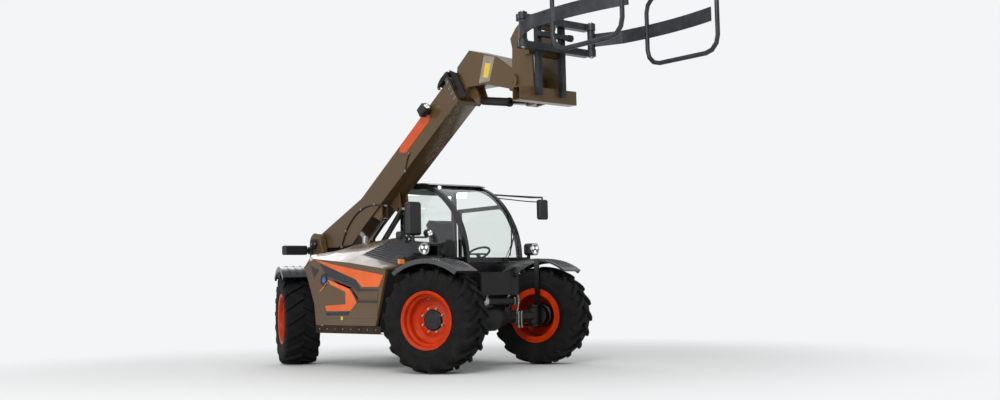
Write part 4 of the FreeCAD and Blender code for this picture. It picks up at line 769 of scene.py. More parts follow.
# Ribbed gland round each barrel's end: base pin, rod's pin, the gland's start and end, its radius
for kind, start, end, a, b, radius in (
        ("lift", (-1.75, 0.025, 0.8), (-0.38131, 0.025, 2.00734), 1.065, 1.118, 0.062),
        ("level", (-1.8, -0.125, 1.01), (-0.60647, -0.125, 1.89407), 0.828, 0.868, 0.038),
        ("tilt", (1.4, -0.04, 3.2), (2.2994, -0.04, 3.05013), 0.485, 0.528, 0.050)):
    turn = (Vector(end) - Vector(start)).normalized().to_track_quat("Y", "Z").to_matrix().to_4x4()
    bm = bmesh.new()
    lathe(bm, [(a, radius - 0.006), (a, radius), (a + 0.004, radius + 0.004),
               (b - 0.004, radius + 0.004), (b, radius), (b, radius - 0.006)], 48)
    for mid in (a + 0.3 * (b - a), a + 0.6 * (b - a)):
        lathe(bm, [(mid - 0.002, radius), (mid - 0.002, radius + 0.0055),
                   (mid + 0.002, radius + 0.0055), (mid + 0.002, radius)], 48)
    mesh_object(kind + "_gland", to_mesh(bm, "gland", Matrix.Translation(start) @ turn, 40.0),
                chassis_black, kind + "_barrel_body")

# Bale clamp
# Hooked frame and two arms, each a curved band welded to a rounded loop of steel tube.

# Stove enamel on steel: satin slate black, thinly worn to grey on its faces.
clamp_enamel = finish("slate black enamel", "clamp_paint", "#222325", 0.36, (0.004, 0.00008, 2.0),
                      (0.12, 6.0, "#1d1f22", "#303336", 0.40, 0.75), Specular_IOR_Level=0.35)
rounded("clamp_frame", clamp_enamel, 0.005)
for node in ("clamp_arm_left", "clamp_arm_right"):
    rounded(node, clamp_enamel, 0.003, angle=50.0)
HEAD_PIN_X, HEAD_PIN_Z = 2.2394, 3.29013
arm_pin_x, arm_z = HEAD_PIN_X + 0.52, HEAD_PIN_Z + 0.47
for label, side in (("r", -1), ("l", 1)):
    bm = bmesh.new()
    for z in (arm_z - 0.196, arm_z + 0.196):
        pin_end = Matrix.Translation((arm_pin_x, BOOM_CENTRE + side * 0.52, z))
        add_rod(bm, 40, 0.030, -0.006, 0.006, pin_end)
        add_rod(bm, 6, 0.015, -0.014, 0.014, pin_end)
    mesh_object("clamp_pin_caps_" + label, to_mesh(bm, "pin caps", smooth=30.0), zinc_steel,
                "carriage_body")
# Transverse cylinder that closes the arms: barrel with a collar at each end, between the uprights
bm = bmesh.new()
for y, radius, length in ((BOOM_CENTRE, 0.034, 0.50), (-0.285, 0.040, 0.05), (0.205, 0.040, 0.05)):
    add_rod(bm, 40, radius, -0.5 * length, 0.5 * length,
            Matrix.Translation((arm_pin_x - 0.065, y, arm_z)) @ across)
mesh_object("clamp_cylinder", to_mesh(bm, "clamp cylinder", smooth=30.0), clamp_enamel,
            "carriage_body")

# Cab
# Welded cab frame and tub in gloss black with bonded safety glass and a moulded roof.

# Gloss black enamel over pressed steel: deep, with a 15 mm orange peel that ripples reflections.
cab_enamel = finish("gloss black cab enamel", "cab_paint", "#0f0f10", 0.24, (0.015, 0.00003, 0.0),
                    wear=(0.12, 5.0, 0.2, 0.3), Coat_Weight=0.3, Coat_Roughness=0.08)
for node, size in (("cab_base", 0.008), ("cab_door", 0.006)):
    rounded(node, cab_enamel, size)
cab_frame = rounded("cab_frame", cab_enamel, 0.008)
# Moulded roof skin in satin black, 2 mm pebble grain.
roof_skin = finish("satin black moulded roof", "cab_paint", "#141415", 0.45, (0.002, 0.00025, 1.0),
                   (0.2, 5.0, "#111112", "#1b1a19", 0.35, 0.7))
rounded("cab_roof", roof_skin, 0.02, segments=3)
# Laminated safety glass: clear with a faint grey-green body and a thin film of dust.
safety_glass = finish("laminated safety glass", "cab_glazing", "#f4f8f6", 0.01,
                      wear=(0.3, 2.0, 0.0, 0.012), IOR=1.35, Transmission_Weight=1.0)
for node in ("cab_glass", "door_glass"):
    rounded(node, safety_glass, 0.0)
# Moulded ABS with a 2 mm leather grain: matt black.
grained_plastic = finish("grained black ABS", "black_plastic", "#161617", 0.55, (0.002, 0.0003, 2.0),
                         (0.1, 4.0, "#131314", "#1d1d1d", 0.35, 0.7))
for node, size in (("dashboard", 0.02), ("steering_wheel", 0.0), ("tank_and_steps", 0.012),
                   ("mirrors", 0.008), ("rear_lamp_bar", 0.006)):
    rounded(node, grained_plastic, size)


def arc_points(start, middle, end, count, out=0.0):
    """Points on the arc through three side-view points, moved outward from its centre."""
    (ax, az), (bx, bz), (cx, cz) = start, middle, end
    d = 2 * (ax * (bz - cz) + bx * (cz - az) + cx * (az - bz))
    a2, b2, c2 = ax * ax + az * az, bx * bx + bz * bz, cx * cx + cz * cz
    ox = (a2 * (bz - cz) + b2 * (cz - az) + c2 * (az - bz)) / d
    oz = (a2 * (cx - bx) + b2 * (ax - cx) + c2 * (bx - ax)) / d
    reach = math.hypot(ax - ox, az - oz) + out
    first = math.atan2(az - oz, ax - ox)
    last = math.atan2(cz - oz, cx - ox)
    angles = [first + (last - first) * k / count for k in range(count + 1)]
    return [(ox + reach * math.cos(a), oz + reach * math.sin(a)) for a in angles]


def curved_strip(name, line, y0, y1, thickness, material, body, lean):
    """Strip that follows a side-view line, with a thickness inwards; lean moves its top to the right."""
    bm = bmesh.new()
    rows = []
    for k, (x, z) in enumerate(line):
        px, pz = line[max(0, k - 1)]
        nx, nz = line[min(len(line) - 1, k + 1)]
        length = math.hypot(nx - px, nz - pz)
        ix, iz = -(nz - pz) / length * thickness, (nx - px) / length * thickness
        s = lean * k / (len(line) - 1)
        rows.append([bm.verts.new(v) for v in ((x, y0 + s, z), (x, y1 + s, z),
                                               (x + ix, y1 + s, z + iz), (x + ix, y0 + s, z + iz))])
    skin_rows(bm, rows)
    return mesh_object(name, to_mesh(bm, name), material, body)


# Windscreen wipers: sprung arm and rubber blade lying on the curved glass
screen, screen_out = [arc_points((0.80, 1.28), (0.70, 1.72), (0.44, 2.06), 24, out)
                      for out in (0.004, 0.016)]
for name, line, y0, y1, thickness, material, lean in (
        ("wiper_blade", screen[2:17], 0.845, 0.859, 0.010, line_rubber, 0.16),
        ("wiper_arm", screen_out[1:12], 0.800, 0.810, 0.006, cab_enamel, 0.20),
        ("wiper_guide", screen_out[1:11], 0.760, 0.768, 0.006, cab_enamel, 0.22)):
    curved_strip(name, line, y0, y1, thickness, material, "machine", lean)
slab("wiper_pivot", ((0.772, 1.262), (0.815, 1.262), (0.820, 1.312), (0.790, 1.312)), 0.745, 0.820,
     grained_plastic, "machine", radius=0.004)
# Pale moulded lining under the roof skin
lining = finish("pale grey moulded lining", "black_plastic", "#a9aeab", 0.75, (0.003, 0.0002, 1.0),
                (0.2, 3.0, "#a2a7a4", "#b3b7b4", 0.35, 0.7))
repaint(cab_frame, lining, lambda c, n: (
    c.x < -0.5 and c.z > 2.2 and 0.2 < c.y < 1.02 and n.x > -0.5))
slab("roof_lining", ((-0.600, 2.272), (-0.070, 2.272), (-0.070, 2.284), (-0.590, 2.290),
                     (-0.600, 2.286)), 0.165, 1.045, lining, "machine", radius=0.003)
# Rubber seals round the right window and the windscreen's lower edge
for k, (x0, z0, x1, z1) in enumerate(((-0.56, 1.338, 0.735, 1.338), (-0.562, 1.34, -0.562, 2.22))):
    pipe_run("window_seal_%d" % k, [(x0, 0.168, z0), (0.5 * (x0 + x1), 0.168, 0.5 * (z0 + z1)),
                                    (x1, 0.168, z1)], 0.008, line_rubber, "machine", unions=False)

# Lamps
# Sealed lamps in black moulded housings: vacuum-coated reflectors behind clear polycarbonate.

# Clear polycarbonate: colourless, sharp reflections.
lamp_lens = finish("clear lamp polycarbonate", "lamp_lens", "#f2f5f6", 0.02,
                   wear=(0.01, 3.0, 0.0, 0.04), IOR=1.5, Transmission_Weight=1.0)
# Vacuum-deposited aluminium on the reflector: a bright mirror with a 5 mm facet ripple.
lamp_mirror = finish("vacuum-coated reflector", "lamp_lens", "#d5d8da", 0.08, (0.005, 0.0008, 1.0),
                     Metallic=1.0)
# Light cell behind its own small lens: pale, with a faint glow that is a painted glint of daylight.
glinting_lamp_cell = finish("lamp cell with painted glint", "lamp_lens", "#f4f3ea", 0.2, None,
                   (0.004, 3.0, "#e3e1d6", "#ffffff", 0.35, 0.7), Emission_Strength=0.9,
                   Emission_Color=linear("#fffaf0"))
# Amber polycarbonate of the indicators and red of the rear lamps, moulded with 4 mm flutes.
amber_lens, red_lens = [
    finish(name, "lamp_lens", base, 0.15, (0.004, 0.0006, 1.0), (0.02, 3.0, dark, light, 0.35, 0.7),
           stretch=(1, 4, 0.2), Coat_Weight=0.4)
    for name, base, dark, light in (
        ("amber lamp polycarbonate", "#e07a10", "#d56a08", "#f08c1c"),
        ("red lamp polycarbonate", "#9c1210", "#8a0e0d", "#b01816"))]
for node in ("headlamps", "boom_lamp"):
    rounded(node, grained_plastic, 0.006)


def turned_piece(name, profile, sides, place, material, body, smooth=35.0, closed=False):
    """Piece turned about its place's Y from (y, radius) points."""
    bm = bmesh.new()
    lathe(bm, profile, sides, closed)
    return mesh_object(name, to_mesh(bm, name, place, smooth), material, body)


def lamp_at(name, place, radius, body, cells):
    """Round lamp facing +Y of its place: bezel, bright reflector with light cells that glow as a painted
    glint, and clear lens.
    """
    turned_piece(name + "_bezel", [
        (-0.012, 0.78 * radius), (-0.012, radius), (0.004, radius), (0.008, 0.96 * radius),
        (0.008, 0.86 * radius), (0.0, 0.84 * radius)], 40, place,
        lamp_mirror if radius > 0.06 else grained_plastic, body, closed=True)
    turned_piece(name + "_reflector", [
        (-0.006, 0.0), (-0.0055, 0.3 * radius), (-0.003, 0.6 * radius), (0.001, 0.85 * radius),
        (-0.011, 0.85 * radius), (-0.011, 0.0)], 40, place, lamp_mirror, body)
    bm = bmesh.new()
    for k in range(cells):
        a = 2 * math.pi * (k + 0.25) / cells
        reach = 0.0 if cells == 1 else 0.46 * radius
        spot = Matrix.Translation((reach * math.cos(a), -0.002, reach * math.sin(a)))
        size = (0.62 if cells == 1 else 0.30) * radius
        bmesh.ops.create_uvsphere(bm, u_segments=20, v_segments=8, radius=size,
                                  matrix=spot @ Matrix.Diagonal((1, 0.006 / size, 1, 1)))
    mesh_object(name + "_cells", to_mesh(bm, name, place), glinting_lamp_cell, body)
    turned_piece(name + "_lens", [
        (0.002, 0.0), (0.002, 0.86 * radius), (0.006, 0.86 * radius), (0.009, 0.6 * radius),
        (0.0105, 0.3 * radius), (0.011, 0.0)], 40, place, lamp_lens, body)


forward = Matrix.Rotation(math.radians(-90), 4, "Z")
for name, frame_turn, place, radius, body, cells in (
        ("headlamp_main_right", Matrix(), (1.14, -0.76, 1.425), 0.070, "machine", 3),
        ("headlamp_main_left", Matrix(), (1.16, 0.96, 1.425), 0.070, "machine", 3),
        ("work_lamp", Matrix(), (1.045, -0.60, 1.617), 0.0445, "machine", 4),
        ("roof_lamp", Matrix(), (0.10, 0.27, 2.262), 0.040, "machine", 1),
        ("boom_work_lamp", raised, (3.0905, -0.285, -0.155), 0.050, "boom", 4)):
    lamp_at(name, frame_turn @ Matrix.Translation(place) @ forward, radius, body, cells)

# Indicator: amber lens over its black holder beside the hood
bm = bmesh.new()
add_box(bm, (0.922, -0.991, 1.2475), (0.962, -0.909, 1.3075))
bevelled(mesh_object("indicator_lens", to_mesh(bm, "indicator lens"), amber_lens, "machine"), 0.012, 4,
         harden_normals=True)
# Rear lamps behind one bar: red, amber and clear fields facing the rear; the clear field glows as a
# painted glint
for name, y0, y1, material in (("red", -0.700, -0.580, red_lens), ("amber", -0.572, -0.490, amber_lens),
                               ("clear", -0.482, -0.380, glinting_lamp_cell)):
    slab("rear_lens_" + name, rect(y0, 1.488, y1, 1.582), -2.266, -2.256, material, "machine",
         radius=0.006, segments=3, plane="YZ")

# Mirrors
# Moulded housings on stalks, with silvered glass set in their rear faces.

# Silvered float glass: a plain mirror with a hint of dust.
mirror_glass = finish("silvered mirror glass", "black_plastic", "#c9cdd0", 0.02,
                      wear=(0.05, 5.0, 0.0, 0.05), Metallic=1.0)
slab("mirror_glass_right", rect(-0.835, 1.615, -0.685, 1.965), 0.8785, 0.884, mirror_glass, "machine",
     radius=0.004, plane="YZ")
pipe_run("mirror_stay", [(0.205, 1.095, 2.150), (0.45, 1.160, 2.112), (0.755, 1.250, 2.062),
                         (0.905, 1.318, 2.050)], 0.007, grained_plastic, "machine", unions=False)
slab("mirror_glass_left", rect(1.262, 1.842, 1.378, 2.058), 0.8785, 0.884, mirror_glass, "machine",
     radius=0.004, plane="YZ")

# Seat
# Sprung driver's seat: two foam pads under woven cloth on a steel pan.

# Woven polyester in charcoal: matt, with a 4 mm basket weave drawn a little coarser than it is.
seat_cloth = finish("woven charcoal seat cloth", "seat_fabric", "#202124", 0.9, None,
                    (0.05, 6.0, "#1a1b1e", "#2b2c30", 0.35, 0.7), Sheen_Weight=0.3)
tree = seat_cloth.node_tree
place = add_node(tree, "ShaderNodeTexCoord")
waves = [add_node(tree, "ShaderNodeTexWave", {"bands_direction": axis}, {
    "Vector": place.outputs["Object"], "Scale": 80.0, "Distortion": 0.4}) for axis in ("X", "Y", "Z")]
crossed = add_node(tree, "ShaderNodeMath", {"operation": "MAXIMUM"}, {
    0: waves[0].outputs["Fac"], 1: waves[1].outputs["Fac"]})
crossed = add_node(tree, "ShaderNodeMath", {"operation": "MULTIPLY"}, {
    0: crossed.outputs[0], 1: waves[2].outputs["Fac"]})
weave = add_node(tree, "ShaderNodeBump", inputs={
    "Height": crossed.outputs[0], "Strength": 1.0, "Distance": 0.0008})
tree.links.new(weave.outputs["Normal"], tree.nodes["Principled BSDF"].inputs["Normal"])

PAD_SHRINK = 0.010
PAD_VOXEL = 0.008
PAD_SWELL = 0.024
PAD_STEPS = 20
PAD_INSET = 0.001


def swollen_pad(node):
    """Foam pad blown up inside its cloth from the CAD solid's own shape."""
    source = frame["nodes"][node]
    bm = bmesh.new()
    bm.from_mesh(source.data)
    bmesh.ops.remove_doubles(bm, verts=bm.verts, dist=2e-5)
    low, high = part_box(node)
    middle = (Vector(low) + Vector(high)) / 2
    for vert in bm.verts:
        toward = middle - vert.co
        vert.co += Vector([math.copysign(min(abs(t), PAD_SHRINK), t) for t in toward])
    mesh = bpy.data.meshes.new(node + " pad")
    bm.to_mesh(mesh)
    bm.free()
    pad = bpy.data.objects.new(node + "_pad", mesh)
    bpy.context.scene.collection.objects.link(pad)
    remesh = pad.modifiers.new("even", "REMESH")
    remesh.mode = "VOXEL"
    remesh.voxel_size = PAD_VOXEL
    even = evaluated_mesh(pad)
    pad.modifiers.clear()
    pad.data = even
    rest = [v.co.copy() for v in even.vertices]
    cloth = pad.modifiers.new("cloth", "CLOTH")
    cloth.settings.use_pressure = True
    cloth.settings.uniform_pressure_force = 4
    cloth.settings.effector_weights.gravity = 0
    cloth.point_cache.frame_start = 1
    cloth.point_cache.frame_end = PAD_STEPS
    for step in range(1, PAD_STEPS + 1):
        bpy.context.scene.frame_set(step)
    blown = evaluated_mesh(pad)
    pad.modifiers.clear()
    for vert, start in zip(blown.vertices, rest):
        move = vert.co - start
        if move.length > PAD_SWELL:
            vert.co = start + move.normalized() * PAD_SWELL
        vert.co = [min(max(c, low[i] + PAD_INSET), high[i] - PAD_INSET)
                   for i, c in enumerate(vert.co)]
    pad.data = blown
    bpy.context.scene.frame_set(1)
    pad.data.shade_smooth()
    pad.data.materials.clear()
    pad.data.materials.append(seat_cloth)
    finer = pad.modifiers.new("finer", "SUBSURF")
    finer.levels = 1
    finer.render_levels = 1
    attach(pad, source["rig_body"])
    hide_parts(node)
    return pad


swollen_pad("seat_cushion")
swollen_pad("seat_back")
# Armrest with its control stick on the right of the seat
slab("armrest", ((-0.30, 1.36), (0.06, 1.36), (0.09, 1.39), (0.08, 1.43), (-0.30, 1.43)),
     0.325, 0.385, grained_plastic, "machine", radius=0.012, segments=3)
slab("armrest_post", rect(-0.20, 1.125, -0.10, 1.365), 0.335, 0.375, grained_plastic, "machine",
     radius=0.008)
turned_piece("control_stick", [
    (0.0, 0.0), (0.0, 0.020), (0.02, 0.014), (0.06, 0.010), (0.08, 0.016), (0.12, 0.020),
    (0.145, 0.018), (0.155, 0.0)], 24,
    Matrix.Translation((0.03, 0.355, 1.428)) @ Matrix.Rotation(math.radians(80), 4, "X"),
    grained_plastic, "machine", smooth=50.0)

# Hood
# Large clamshell hood of moulded panels in the body colour, hinged beside the boom, with a
# slatted black grille in front and vents behind it.

# Black polypropylene of the grille: satin with a 1.5 mm pebble.
grille_plastic = finish("satin black grille plastic", "black_plastic", "#17171a", 0.38,
                        (0.0015, 0.0001, 1.0), wear=(0.1, 3.0, 0.32, 0.5))


def in_grille(point):
    """True in the slatted grille and in the vent behind it."""
    return 0.11 < point.x < 0.63 and -0.915 < point.y < -0.515 or (
        -0.63 < point.x < -0.13 and -0.69 < point.y < -0.52)


corner_top = Vector((-0.744, -1.12, 1.3694))
corner_low = Vector((-0.990, -1.12, 1.2500))
corner_rear = Vector((-1.080, -0.95, 1.4250))


def slope_corner(bm):
    """Bevelled facet in place of the rear outer corner, cut along a plane and plated."""
    out = (corner_low - corner_top).cross(corner_rear - corner_top).normalized()
    if out.z < 0:
        out = -out
    cut = bmesh.ops.bisect_plane(bm, geom=bm.verts[:] + bm.edges[:] + bm.faces[:], dist=1e-5,
                                 plane_co=corner_top, plane_no=out, clear_outer=True)
    rim = [e for e in cut["geom_cut"] if isinstance(e, bmesh.types.BMEdge)]
    bmesh.ops.holes_fill(bm, edges=rim)
    faces = [[bm.verts.new(c - out * depth) for c in (corner_top, corner_low, corner_rear)]
             for depth in (0.0, 0.008)]
    plate = [bm.faces.new(faces[0]), bm.faces.new(faces[1])]
    for j in range(3):
        n = (j + 1) % 3
        plate.append(bm.faces.new((faces[0][j], faces[0][n], faces[1][n], faces[1][j])))
    bmesh.ops.recalc_face_normals(bm, faces=plate)


hood = rounded("engine_hood", body_enamel, 0.010, segments=3, spare=in_grille, trim=slope_corner)
repaint(hood, grille_plastic, lambda c, n: (
    0.1 < c.x < 0.87 and -0.955 < c.y < -0.455 and c.z > 1.15 and (n.z > 0.3 or 0.11 < c.x < 0.63)))

# Raised ridge along the crown of each grille slat, glossier and painted a lighter grey than the grille: a
# painted highlight that draws its line
ridge_highlight_plastic = finish("grille ridge plastic with painted highlight", "black_plastic", "#2a2a2c", 0.25,
                       (0.02, 0.00003, 0.0), wear=(0.08, 3.0, 0.2, 0.35))
RIDGE_COUNT = 11
RIDGE_FIRST, RIDGE_STEP = -0.915, 0.0415
HINGE_Y, TOP_WIDTH = -0.46, 0.49
bm = bmesh.new()
for k in range(RIDGE_COUNT):
    y = RIDGE_FIRST + RIDGE_STEP * k
    rows = []
    # x, and the hood's height there at the hinge and at the shoulder
    for x, hinge, shoulder in ((0.125, 1.5968, 1.3830), (0.640, 1.530, 1.279),
                               (0.815, 1.5069, 1.2424)):
        z = hinge + (shoulder - hinge) * (HINGE_Y - y) / TOP_WIDTH
        rows.append([bm.verts.new(v) for v in ((x, y - 0.006, z - 0.010), (x, y - 0.0035, z + 0.0035),
                                               (x, y + 0.0035, z + 0.0060), (x, y + 0.006, z - 0.006))])
    skin_rows(bm, rows)
mesh_object("grille_ridges", to_mesh(bm, "grille ridges", smooth=20.0), ridge_highlight_plastic, "hood_body")
# Folded sill plate under the hood, bolted to the engine tray's edge
# Darker, duller metallic enamel of the sill: the body colour painted darker as painted shade under the
# hood's edge.
sill_shade_enamel = finish("bronze enamel with painted shade", "body_paint", "#2f2111", 0.5, (0.004, 0.00003, 1.0),
                     (0.15, 4.0, "#2a1d0e", "#372817", 0.35, 0.7), Metallic=0.1, Coat_Weight=0.03,
                     Specular_IOR_Level=0.12)
SILL_OUT = -1.1145
slab("side_sill", ((-0.715, 0.440), (0.735, 0.440), (0.739, 0.526), (-0.722, 0.526)),
     SILL_OUT, SILL_OUT + 0.006, sill_shade_enamel, "machine", radius=0.003)
slab("side_sill_foot", rect(-0.715, 0.432, 0.735, 0.440), SILL_OUT, -1.070, sill_shade_enamel, "machine")
bolt_rows("sill_bolts", Matrix.Translation((-0.62, SILL_OUT, 0.485)), "-Y", "machine", 8, (0.18, 0, 0),
          radius=0.007, height=0.006)

# Panels of the hood's side: outline, how far each stands proud of the side and where its back lies,
# finish, edge radius and its segments
HOOD_SIDE = -1.12
for name, outline, proud, back, material, radius, segments in (
        # Lower panels, under the wedge's shadow gap
        ("side_panel_low", (
            (-0.560, 0.615), (0.690, 0.620), (0.694, 0.800), (0.262, 0.806), (0.135, 0.952),
            (0.108, 0.978), (-0.330, 1.062), (-0.372, 1.119), (-0.593, 0.953), (-0.560, 0.800)),
         0.005, 0.001, body_enamel, 0.004, 3),
        ("side_panel_front", (
            (0.300, 0.845), (0.690, 0.845), (0.700, 0.935), (0.285, 0.930), (0.118, 1.000),
            (-0.300, 1.098), (-0.340, 1.072), (0.135, 0.990), (0.160, 0.965)),
         0.005, 0.001, body_enamel, 0.003, 3),
        # Orange wedge and chevron, sprayed panels standing 4 mm proud, in the stripe enamel painted
        # lighter as painted light
        ("side_wedge", (
            (-0.709, 1.356), (-0.332, 1.240), (0.234, 1.086), (0.362, 0.995), (0.719, 0.990),
            (0.822, 1.127), (0.211, 1.210), (-0.331, 1.292)), 0.004, 0.001, lit_stripe_enamel, 0.0025, 3),
        ("side_chevron", (
            (-0.406, 1.098), (-0.336, 1.034), (0.000, 0.941), (0.005, 0.790), (-0.464, 0.772),
            (-0.437, 0.707), (0.111, 0.708), (0.254, 0.813), (0.099, 0.974)),
         0.0075, -0.004, lit_stripe_enamel, 0.0015, 2),
        ("side_chevron_tail", (
            (-0.598, 0.953), (-0.585, 0.948), (-0.405, 1.052), (-0.398, 1.094), (-0.420, 1.072)),
         0.0075, -0.004, lit_stripe_enamel, 0.001, 2),
        # Black sheets between the panels, in the wedge's shadow gap and the slots, a painted shadow at the
        # rear corner, and the small yellow mark
        ("wedge_gap", (
            (-0.595, 1.299), (-0.332, 1.237), (0.234, 1.082), (0.319, 0.975), (0.718, 0.961),
            (0.701, 0.947), (0.292, 0.942), (0.118, 1.012), (-0.409, 1.140)),
         0.0015, 0.001, grille_plastic, 0.0005, 2),
        ("front_slot", (
            (0.108, 0.978), (0.135, 0.988), (0.280, 0.832), (0.698, 0.830), (0.681, 0.808),
            (0.254, 0.810)), 0.0065, -0.004, grille_plastic, 0.0005, 2),
        ("low_slot", ((-0.456, 0.688), (0.102, 0.703), (0.056, 0.653), (-0.429, 0.648)),
         0.0062, -0.004, grille_plastic, 0.0005, 2),
        ("corner_shadow", ((-0.828, 1.286), (-0.612, 1.224), (-0.734, 1.121)), 0.0015, 0.001,
         grille_plastic, 0.0005, 2),
        ("low_mark", rect(-0.106, 0.597, -0.061, 0.640), 0.0065, -0.003, yellow_foil, 0.0005, 2),
        # Bronze diamond under the filler
        ("filler_plate", ((-0.735, 1.061), (-0.593, 0.953), (-0.372, 1.119), (-0.502, 1.192)),
         0.0045, 0.001, body_enamel, 0.003, 3)):
    slab(name, outline, HOOD_SIDE - proud, HOOD_SIDE + back, material, "hood_body", radius,
         segments)
# Filler: black dish and the blue cap of the additive tank, moulded in satin polypropylene
blue_cap = finish("blue moulded cap", "black_plastic", "#2d5fa8", 0.4, (0.0015, 0.0001, 1.0),
                  (0.02, 3.0, "#28569a", "#3468b4", 0.35, 0.7))
outboard = Matrix.Rotation(math.radians(180), 4, "Z")
turned_piece("filler_dish", [
    (0.0, 0.0), (0.0035, 0.066), (0.0060, 0.070), (0.0080, 0.073), (0.0080, 0.078), (0.0, 0.080)], 48,
    Matrix.Translation((-0.485, HOOD_SIDE - 0.004, 1.092)) @ outboard, grille_plastic, "hood_body",
    smooth=40.0)
turned_piece("filler_cap", [
    (0.002, 0.0), (0.002, 0.036), (0.010, 0.036), (0.012, 0.033), (0.012, 0.026), (0.010, 0.024),
    (0.010, 0.0)], 40,
    Matrix.Translation((-0.480, HOOD_SIDE - 0.004, 1.094)) @ outboard, blue_cap, "hood_body",
    smooth=30.0)
# Air cleaner's cap on the cowl
turned_piece("air_cap", [
    (0.0, 0.0), (0.0, 0.034), (0.045, 0.034), (0.050, 0.048), (0.060, 0.052), (0.125, 0.052),
    (0.140, 0.046), (0.148, 0.030), (0.150, 0.0)], 40,
    Matrix.Translation((0.135, -0.392, 1.535)) @ across, grained_plastic, "machine", smooth=40.0)

# Engine
# Diesel engine on its tray: cast block with its ribs and cover, and the exhaust.

# Sand-cast iron: rough with 3 mm grain and oily patches.
cast_iron = finish("sand-cast iron", "engine_iron", "#3a3836", 0.6, (0.003, 0.0006, 4.0),
                   (0.12, 5.0, "#2b2a28", "#454340", 0.35, 0.7), Metallic=0.4)
rounded("engine_block", cast_iron, 0.012)
bm = bmesh.new()
add_box(bm, (-0.45, -0.685, 1.17), (0.25, -0.485, 1.23))
bevelled(mesh_object("valve_cover", to_mesh(bm, "valve cover"), grained_plastic, "machine"), 0.018, 3)
bm = bmesh.new()
add_box(bm, (-0.416, -0.9495, 0.61), (-0.404, -0.9355, 1.07))
mesh_object("block_ribs", in_rows(to_mesh(bm, "block rib"), cast_iron, 8, (0.09, 0, 0)), cast_iron,
            "machine")
# Drawn stainless pipe: satin, straw and blue where the gas has heated it.
brushed_steel = finish("drawn stainless exhaust pipe", "exhaust_steel", "#9b9a95", 0.32,
                       (0.002, 0.00005, 2.0), (0.06, 3.0, "#8a8176", "#a9a9a6", 0.35, 0.7),
                       stretch=(1, 1, 0.1), Metallic=1.0)
rounded("exhaust", brushed_steel, 0.002)

# Tank and steps
# Moulded tank under the cab with two steps, their treads studded against slipping.
bm = bmesh.new()
add_rod(bm, 8, 0.007, 0.0, 0.003, Matrix.Translation((-0.155, 0.940, 0)), 0.005)
stud = to_mesh(bm, "tread stud", smooth=25.0)
for k, z in enumerate((0.450, 0.605)):
    mesh_object("step_studs_%d" % k, in_rows(
        stud.copy(), zinc_steel, 20, (0.0205, 0, 0), 8, (0, 0.0215, 0), Matrix.Translation((0, 0, z)),
        25.0), zinc_steel, "machine")
# Door handle on the cab door
slab("door_handle", rect(-0.44, 1.060, -0.30, 1.110), 1.098, 1.118, grained_plastic, "door_body",
     radius=0.008, segments=3)

# Studio
# Pale floor and backdrop, soft lights all round and the camera at the photograph's angle.
SKY_WHITE = "#f3f5f6"


def one_of(tree, *answers):
    """Highest of several answers of 0 or 1."""
    seen = answers[0]
    for answer in answers[1:]:
        seen = add_node(tree, "ShaderNodeMath", {"operation": "ADD", "use_clamp": True}, {
            0: seen, 1: answer}).outputs[0]
    return seen


def mix_out(tree, share, first, second, output):
    """Mixes two shaders into a tree's output."""
    both = add_node(tree, "ShaderNodeMixShader", inputs={
        0: share, 1: first.outputs[0], 2: second.outputs[0]})
    tree.links.new(both.outputs[0], tree.nodes[output].inputs["Surface"])


backdrop = finish("pale studio floor", None, "#dcdcda", 0.9)
# Far from the machine the camera sees the floor fade into the white of the backdrop.
tree = backdrop.node_tree
place = add_node(tree, "ShaderNodeTexCoord")
reach = add_node(tree, "ShaderNodeVectorMath", {"operation": "LENGTH"}, {0: place.outputs["Object"]})
away = add_node(tree, "ShaderNodeMapRange", {"interpolation_type": "SMOOTHSTEP"}, {
    "Value": reach.outputs["Value"], "From Min": 3.0, "From Max": 7.5})
rays = add_node(tree, "ShaderNodeLightPath").outputs
seen = one_of(tree, rays["Is Camera Ray"], rays["Is Glossy Ray"], rays["Is Transmission Ray"])
share = add_node(tree, "ShaderNodeMath", {"operation": "MULTIPLY"}, {0: seen, 1: away.outputs["Result"]})
glow = add_node(tree, "ShaderNodeEmission", inputs={"Color": linear(SKY_WHITE), "Strength": 1.0})
mix_out(tree, share.outputs[0], tree.nodes["Principled BSDF"], glow, "Material Output")
mesh = bpy.data.meshes.new("studio floor")
mesh.from_pydata([(-40, -40, 0), (40, -40, 0), (40, 40, 0), (-40, 40, 0)], [], [(0, 1, 2, 3)])
mesh.materials.append(backdrop)
floor = bpy.data.objects.new("studio_floor", mesh)
bpy.context.scene.collection.objects.link(floor)

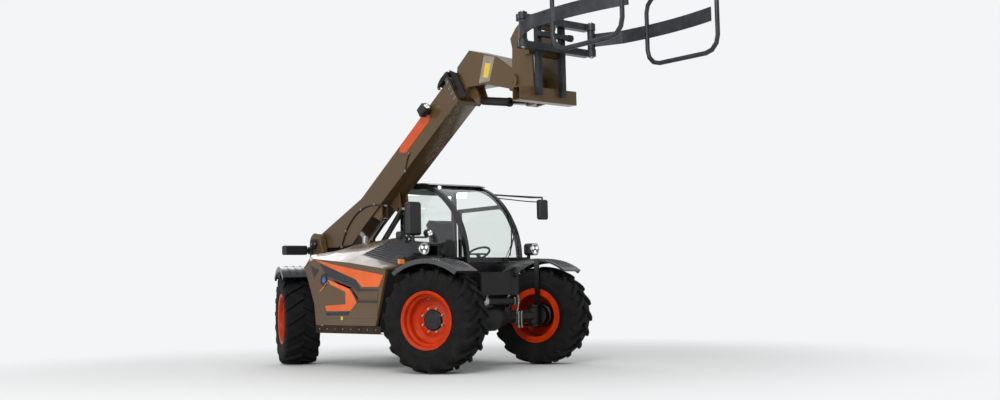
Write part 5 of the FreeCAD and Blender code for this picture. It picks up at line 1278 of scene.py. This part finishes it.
world = bpy.data.worlds.new("studio sky")
world.use_nodes = True
tree = world.node_tree
sky = tree.nodes["Background"]
sky.inputs["Color"].default_value = linear("#e9ecef")
sky.inputs["Strength"].default_value = 0.8
rays = add_node(tree, "ShaderNodeLightPath").outputs
seen = one_of(tree, rays["Is Camera Ray"], rays["Is Transmission Ray"])
white = add_node(tree, "ShaderNodeBackground", inputs={"Color": linear(SKY_WHITE), "Strength": 1.0})
mix_out(tree, seen, sky, white, "World Output")
bpy.context.scene.world = world

LIGHT_AIM = Vector((0, 0, 1.5))
for name, place, size, power in (("key_light", (9, -9, 9), 6, 900), ("fill_light", (2, -12, 4), 8, 400),
                                 ("back_light", (-11, 5.5, 6.5), 7, 450)):
    lamp = bpy.data.lights.new(name, "AREA")
    lamp.shape = "SQUARE"
    lamp.size = size
    lamp.energy = power
    made = bpy.data.objects.new(name, lamp)
    bpy.context.scene.collection.objects.link(made)
    made.location = place
    made.rotation_euler = (LIGHT_AIM - Vector(place)).to_track_quat("-Z", "Y").to_euler()

PHOTO_WIDTH = 1000
FOCAL_PIXELS = 1189.4
SENSOR_WIDTH = 36
camera_data = bpy.data.cameras.new("photo_camera")
camera_data.lens = FOCAL_PIXELS * SENSOR_WIDTH / PHOTO_WIDTH
camera_data.sensor_width = SENSOR_WIDTH
camera_data.clip_end = 200
camera = bpy.data.objects.new("photo_camera", camera_data)
bpy.context.scene.collection.objects.link(camera)
azimuth, pitch, roll = (math.radians(v) for v in (49.96, 4.23, -1.27))
level = Vector((-math.sin(azimuth), math.cos(azimuth), 0))
right = Vector((math.cos(azimuth), math.sin(azimuth), 0))
ahead = level * math.cos(pitch) + Vector((0, 0, math.sin(pitch)))
above = level * -math.sin(pitch) + Vector((0, 0, math.cos(pitch)))
sideways = right * math.cos(roll) + above * math.sin(roll)
upward = above * math.cos(roll) - right * math.sin(roll)
turn = Matrix((sideways, upward, -ahead)).transposed().to_4x4()
camera.matrix_world = Matrix.Translation((12.396, -9.039, 0.946)) @ turn
bpy.context.scene.camera = camera
bpy.context.scene.view_settings.view_transform = "Standard"
